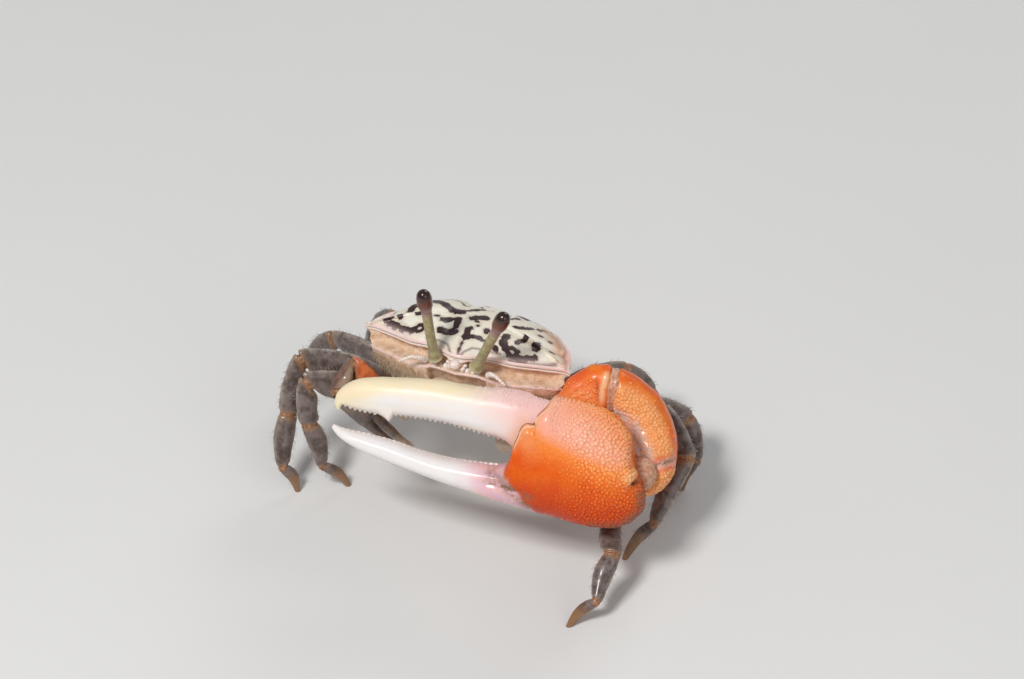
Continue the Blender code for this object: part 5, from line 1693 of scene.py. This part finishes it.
class CRAB_OT_large_arm(bpy.types.Operator):
    """Builds the large claw's arm: the upper arm, the rounded wrist piece and the skin of its joints."""

    bl_idname = "crab.large_arm"
    bl_label = "Large arm"

    def execute(self, context):
        settings = context.scene.crab_claw
        orange = arm_paint(settings)
        soft = folded_paint("arm_joint_skin", 0.3, 0.4, 0.4, (0.50, 0.20, 0.10), (0.70, 0.42, 0.28), 0.12)
        along = unit(MAJOR_ELBOW - MAJOR_ROOT)
        elbow, wide = face_between(MAJOR_ROOT, MAJOR_ELBOW, MAJOR_BEND), upright(along)
        self.build_upper_arm((along, elbow), wide, settings.grain / MM, orange)
        self.build_wrist(settings.grain / MM, orange)
        skins = [cushion("elbow", MAJOR_ELBOW, elbow, wide, (3.45, 2.55), soft, reach=0.9, fold=0.02),
                 cushion("wrist", MAJOR_WRIST_SKIN, CLAW_OUT, CARPUS_CREST, (2.2, 2.0), soft, reach=1.3)]
        hand_over(joined("large_arm_skins", skins), "claw")
        return {"FINISHED"}

    def build_upper_arm(self, faces, wide, grain_size, orange):
        """The upper arm, with its beaded facet beside the elbow."""
        rings, part, _ = limb(MAJOR_ROOT, MAJOR_ELBOW, faces, wide, ARM_PROFILE, 0.4, (0.5, 0.8), keel=0.15,
                              levels=70)
        facet = near(rings, FACET_MIDDLE, 0.95)
        ridge = near(rings, ELBOW_RIDGE, 0.35)
        slit = near(rings, ELBOW_SLIT, 0.22)
        height = 0.07 * ridge - 0.15 * slit + 0.05 * grain(rings, 1.3, 2)
        height += 0.95 * near(rings, ARM_SHOULDER, 1.4)
        arm = skin("upper_arm", swell(rings, height * fade(1 - part, 0.0, 0.03)), orange, {
            "grainy": np.clip(facet + 0.8 * ridge, 0, 1),
            "worn": 0.2 * (1 - part),
            "stain": np.clip(0.7 * hump(part - 1, 0.03) + slit, 0, 1),
            "pale": 0.9 * ridge,
            "cover": np.clip(facet * 1.2, 0, 1),
            "growth": 0.7,
        })
        grains = scatter("upper_arm_grains", arm, "bead", orange, ARM_GRAIN_SPACING, grain_size, seed=2)
        rows = [row_on("facet_row", arm, edge, "bead", orange, *FACET_BEADS, seed=4) for edge in FACET_EDGES]
        hand_over(arm, "claw", "major_merus")
        hand_over(grains, "claw")
        hand_over(joined("facet_rows", rows), "claw")

    def build_wrist(self, grain_size, orange):
        """The rounded wrist piece, grainy and worn beside the palm."""
        wrist = fine_copy("major_carpus", "wrist_piece", REMESH_SIZE, 24)
        places = picked_up(mesh_places(wrist.data))
        from_palm = from_line(places, WORN_BAND)
        furrow = from_line(places, FURROW)
        inner = (1 - fade(from_palm, 3.3, 4.6)) * fade(furrow, 0.6, 1.2)
        height = 0.12 + 0.05 * grain(places, 1.2, 6) + 0.05 * grain(places, 0.6, 7) * inner
        height -= 0.2 * hump(from_palm - 0.2, 0.5) + 0.3 * hump(furrow, 0.35)
        worn = np.maximum(1 - fade(from_palm, 0.8, 1.8), 0.9 * hump(furrow, 0.6))
        dress(wrist, height, orange, {
            "grainy": inner,
            "worn": worn,
            "pale": 0.0,
            "growth": 0.75 + 0.2 * inner,
            "stain": 0.8 * hump(furrow, 0.25),
            "comb": 0.0,
            "cover": np.clip(inner * fade(from_palm, 0.9, 1.5) + 0.35 * worn, 0, 1),
        })
        grains = scatter("wrist_grains", wrist, "bead", orange, WRIST_GRAIN_SPACING, grain_size, seed=6)
        hand_over(wrist, "claw", "major_carpus")
        hand_over(grains, "claw")


def small_claw_paint(settings):
    """Small claw: red-brown and wet on the arm, umber on the hand, pale at the finger tips."""
    paint = Paint("small_claw", roughness=0.3, coat=0.45)
    red = paint.mottle(1.1, 4, 0.35, 0.65, settings.red, (0.62, 0.16, 0.03))
    umber = paint.mottle(0.8, 4, 0.35, 0.65, settings.umber, (0.10, 0.075, 0.07))
    paint.colour(paint.blend("pale", paint.blend("hand", red, umber), (0.58, 0.44, 0.30)))
    paint.relief(paint.plus(paint.noise(0.16, 3), paint.cells(0.3)), 0.02)
    return paint.material


class CRAB_OT_small_claw(bpy.types.Operator):
    """Builds the small claw and its arm."""

    bl_idname = "crab.small_claw"
    bl_label = "Small claw"

    def execute(self, context):
        settings = context.scene.crab_small_claw
        paint = small_claw_paint(settings)
        soft = joint_skin()
        root_face = unit(MINOR_ELBOW - MINOR_ROOT)
        elbow = face_between(MINOR_ROOT, MINOR_ELBOW, MINOR_WRIST)
        hand_way = unit(MINOR_TIP - MINOR_WRIST)
        wrist = face_between(MINOR_ELBOW, MINOR_WRIST, MINOR_TIP)
        wide, hand_wide = upright(root_face), upright(hand_way)
        rings, part, angle = limb(MINOR_ROOT, MINOR_ELBOW, (root_face, elbow), wide, MINOR_MERUS_PROFILE, 0.2,
                                  keel=0.2)
        arm = skin("small_upper_arm", swell(rings, 0.04 * grain(rings, 0.8, 3)), paint,
                   {"hand": 0.35 * fade(np.sin(angle), 0.1, 0.6), "pale": 0.3 * hump(part - 1, 0.05)})
        hand_over(arm, "small_claw", "minor_merus")
        rings, part, angle = limb(MINOR_ELBOW, MINOR_WRIST, (elbow, wrist), hand_wide,
                                  MINOR_CARPUS_PROFILE, 0.2)
        bend = skin("small_wrist", swell(rings, 0.05 * grain(rings, 0.6, 4)), paint,
                    {"hand": 0.9, "pale": 0.4 * fade(np.abs(np.cos(angle)), 0.8, 1.0)})
        hand_over(bend, "small_claw", "minor_carpus")
        out = np.cross(hand_way, hand_wide)
        shapes = (("small_hand", "minor_palm", HAND_UPPER, HAND_LOWER, HAND_HALF),
                  ("small_finger", "minor_finger", THUMB_UPPER, THUMB_LOWER, THUMB_HALF))
        for name, node, upper, lower, half in shapes:
            rings = blade(upper, lower, half, (1.0, 1.0), 10, 32)
            along, up, side = np.moveaxis(rings, -1, 0)
            places = MINOR_WRIST + hand_way * along[..., None] + hand_wide * up[..., None]
            places = places + out * side[..., None]
            traits = {"hand": 1.0, "pale": 0.85 * fade(along, 8.0, 11.6), "cover": hump(along - 10.8, 0.9),
                      "comb": hand_way * 1.2}
            piece = skin(name, swell(places, 0.04 * grain(places, 0.6, 5)), paint, traits)
            brush = scatter(name + "_hairs", piece, "hair", face_fuzz(), HAND_HAIR_SPACING, HAND_HAIR_LENGTH,
                            tangle=0.4, seed=4)
            hand_over(piece, "small_claw", node)
            hand_over(brush, "small_claw")
        skins = [cushion("elbow", MINOR_ELBOW, elbow, wide, (1.2, 0.9), soft),
                 cushion("wrist", MINOR_WRIST, wrist, hand_wide, (1.0, 0.85), soft)]
        hand_over(joined("small_claw_skins", skins), "small_claw")
        return {"FINISHED"}


# Stage. The picture is 1024 pixels wide and 8.5 of them make a millimetre at the eyestalks.
PICTURE = (1024, 679)
PIXELS_PER_MM = 8.5
EYE_ROOTS_IN_PICTURE = (455.7, 356.0)
SENSOR_MM = 36.0
FLOOR_REACH = 3.0
FLOOR_DROP = 0.00002
SKY_COLOUR = (0.92, 0.95, 1.0, 1)
SKY_STRENGTH = 0.26

# Name, place, size across and power of each light.
LIGHTS = (
    ("key", (-0.10, -0.32, 0.48), 0.12, 2.3),
    ("fill", (0.45, -0.30, 0.30), 0.40, 0.6),
    ("back", (0.10, 0.50, 0.35), 0.30, 0.8),
)


class CRAB_OT_stage(bpy.types.Operator):
    """Sets the pale floor, the soft lights and the camera."""

    bl_idname = "crab.stage"
    bl_label = "Stage"

    def execute(self, context):
        settings = context.scene.crab_stage
        scene = context.scene
        paint = Paint("pale_floor", roughness=0.7)
        paint.colour(paint.blend(paint.noise(40, 3), settings.floor, (0.75, 0.74, 0.72)))
        mesh = bpy.data.meshes.new("floor")
        corners = [(x * FLOOR_REACH, y * FLOOR_REACH, 0) for x, y in ((-1, -1), (1, -1), (1, 1), (-1, 1))]
        mesh.from_pydata(corners, [], [(0, 1, 2, 3)])
        mesh.materials.append(paint.material)
        floor = link(mesh, "floor")
        floor.location.z = -FLOOR_DROP
        floor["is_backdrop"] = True
        for name, place, size, power in LIGHTS:
            light = bpy.data.lights.new(name, "AREA")
            light.size = size
            light.energy = power
            lamp = link(light, name)
            lamp.location = place
            lamp.rotation_euler = (-Vector(place)).to_track_quat("-Z", "Y").to_euler()
        world = bpy.data.worlds.new("studio")
        world.use_nodes = True
        world.node_tree.nodes["Background"].inputs["Color"].default_value = SKY_COLOUR
        world.node_tree.nodes["Background"].inputs["Strength"].default_value = SKY_STRENGTH
        scene.world = world
        scene.view_settings.view_transform = "Standard"
        self.place_camera(scene, settings)
        return {"FINISHED"}

    def place_camera(self, scene, settings):
        """Puts the camera where the photograph's was."""
        turn, lift = settings.azimuth, settings.height
        right = np.array([math.cos(turn), math.sin(turn), 0])
        up = np.array([-math.sin(turn) * math.sin(lift), math.cos(turn) * math.sin(lift), math.cos(lift)])
        back = np.array([math.sin(turn) * math.cos(lift), -math.cos(turn) * math.cos(lift), math.sin(lift)])
        aside = (PICTURE[0] / 2 - EYE_ROOTS_IN_PICTURE[0]) / PIXELS_PER_MM
        above = (EYE_ROOTS_IN_PICTURE[1] - PICTURE[1] / 2) / PIXELS_PER_MM
        camera = bpy.data.cameras.new("camera")
        camera.sensor_width = SENSOR_MM
        camera.lens = SENSOR_MM * settings.distance / MM / (PICTURE[0] / PIXELS_PER_MM)
        camera.clip_start = 0.01
        obj = link(camera, "camera")
        turned_to = Matrix(np.stack([right, up, back], axis=1).tolist()).to_4x4()
        place = set_down(right * aside + up * above + back * settings.distance / MM)
        obj.matrix_world = Matrix.Translation(place.tolist()) @ turned_to
        scene.camera = obj


class CRAB_PT_panel(bpy.types.Panel):
    """The crab's pieces and settings in the sidebar."""

    bl_label = "Fiddler Crab"
    bl_idname = "CRAB_PT_panel"
    bl_space_type = "VIEW_3D"
    bl_region_type = "UI"
    bl_category = "Crab"

    def draw(self, context):
        for operator, group in STEPS:
            box = self.layout.box()
            box.operator(operator.bl_idname)
            settings = getattr(context.scene, group)
            for name in settings.__annotations__:
                box.prop(settings, name)


GROUPS = {
    "crab_shell": ShellSettings,
    "crab_eyes": EyeSettings,
    "crab_underside": UndersideSettings,
    "crab_claw": ClawSettings,
    "crab_legs": LegSettings,
    "crab_small_claw": SmallClawSettings,
    "crab_stage": StageSettings,
}
STEPS = (
    (CRAB_OT_shell, "crab_shell"),
    (CRAB_OT_underside, "crab_underside"),
    (CRAB_OT_eyes, "crab_eyes"),
    (CRAB_OT_large_claw, "crab_claw"),
    (CRAB_OT_legs, "crab_legs"),
    (CRAB_OT_large_arm, "crab_claw"),
    (CRAB_OT_small_claw, "crab_small_claw"),
    (CRAB_OT_stage, "crab_stage"),
)


def register():
    """Registers the settings, operators and panel."""
    for name, group in GROUPS.items():
        bpy.utils.register_class(group)
        setattr(bpy.types.Scene, name, PointerProperty(type=group))
    for operator, _ in STEPS:
        bpy.utils.register_class(operator)
    bpy.utils.register_class(CRAB_PT_panel)


def unregister():
    """Takes the settings, operators and panel away again."""
    bpy.utils.unregister_class(CRAB_PT_panel)
    for operator, _ in STEPS:
        bpy.utils.unregister_class(operator)
    for name, group in GROUPS.items():
        delattr(bpy.types.Scene, name)
        bpy.utils.unregister_class(group)


def main():
    """Builds every piece and the stage."""
    register()
    for operator, _ in STEPS:
        group, name = operator.bl_idname.split(".")
        getattr(getattr(bpy.ops, group), name)()
    put_templates_away()
    boxes = {"cad": CAD_BOX, "visual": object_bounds()}
    {name: [list(corner) for corner in box] for name, box in boxes.items()}


if __name__ == "__main__":
    main()
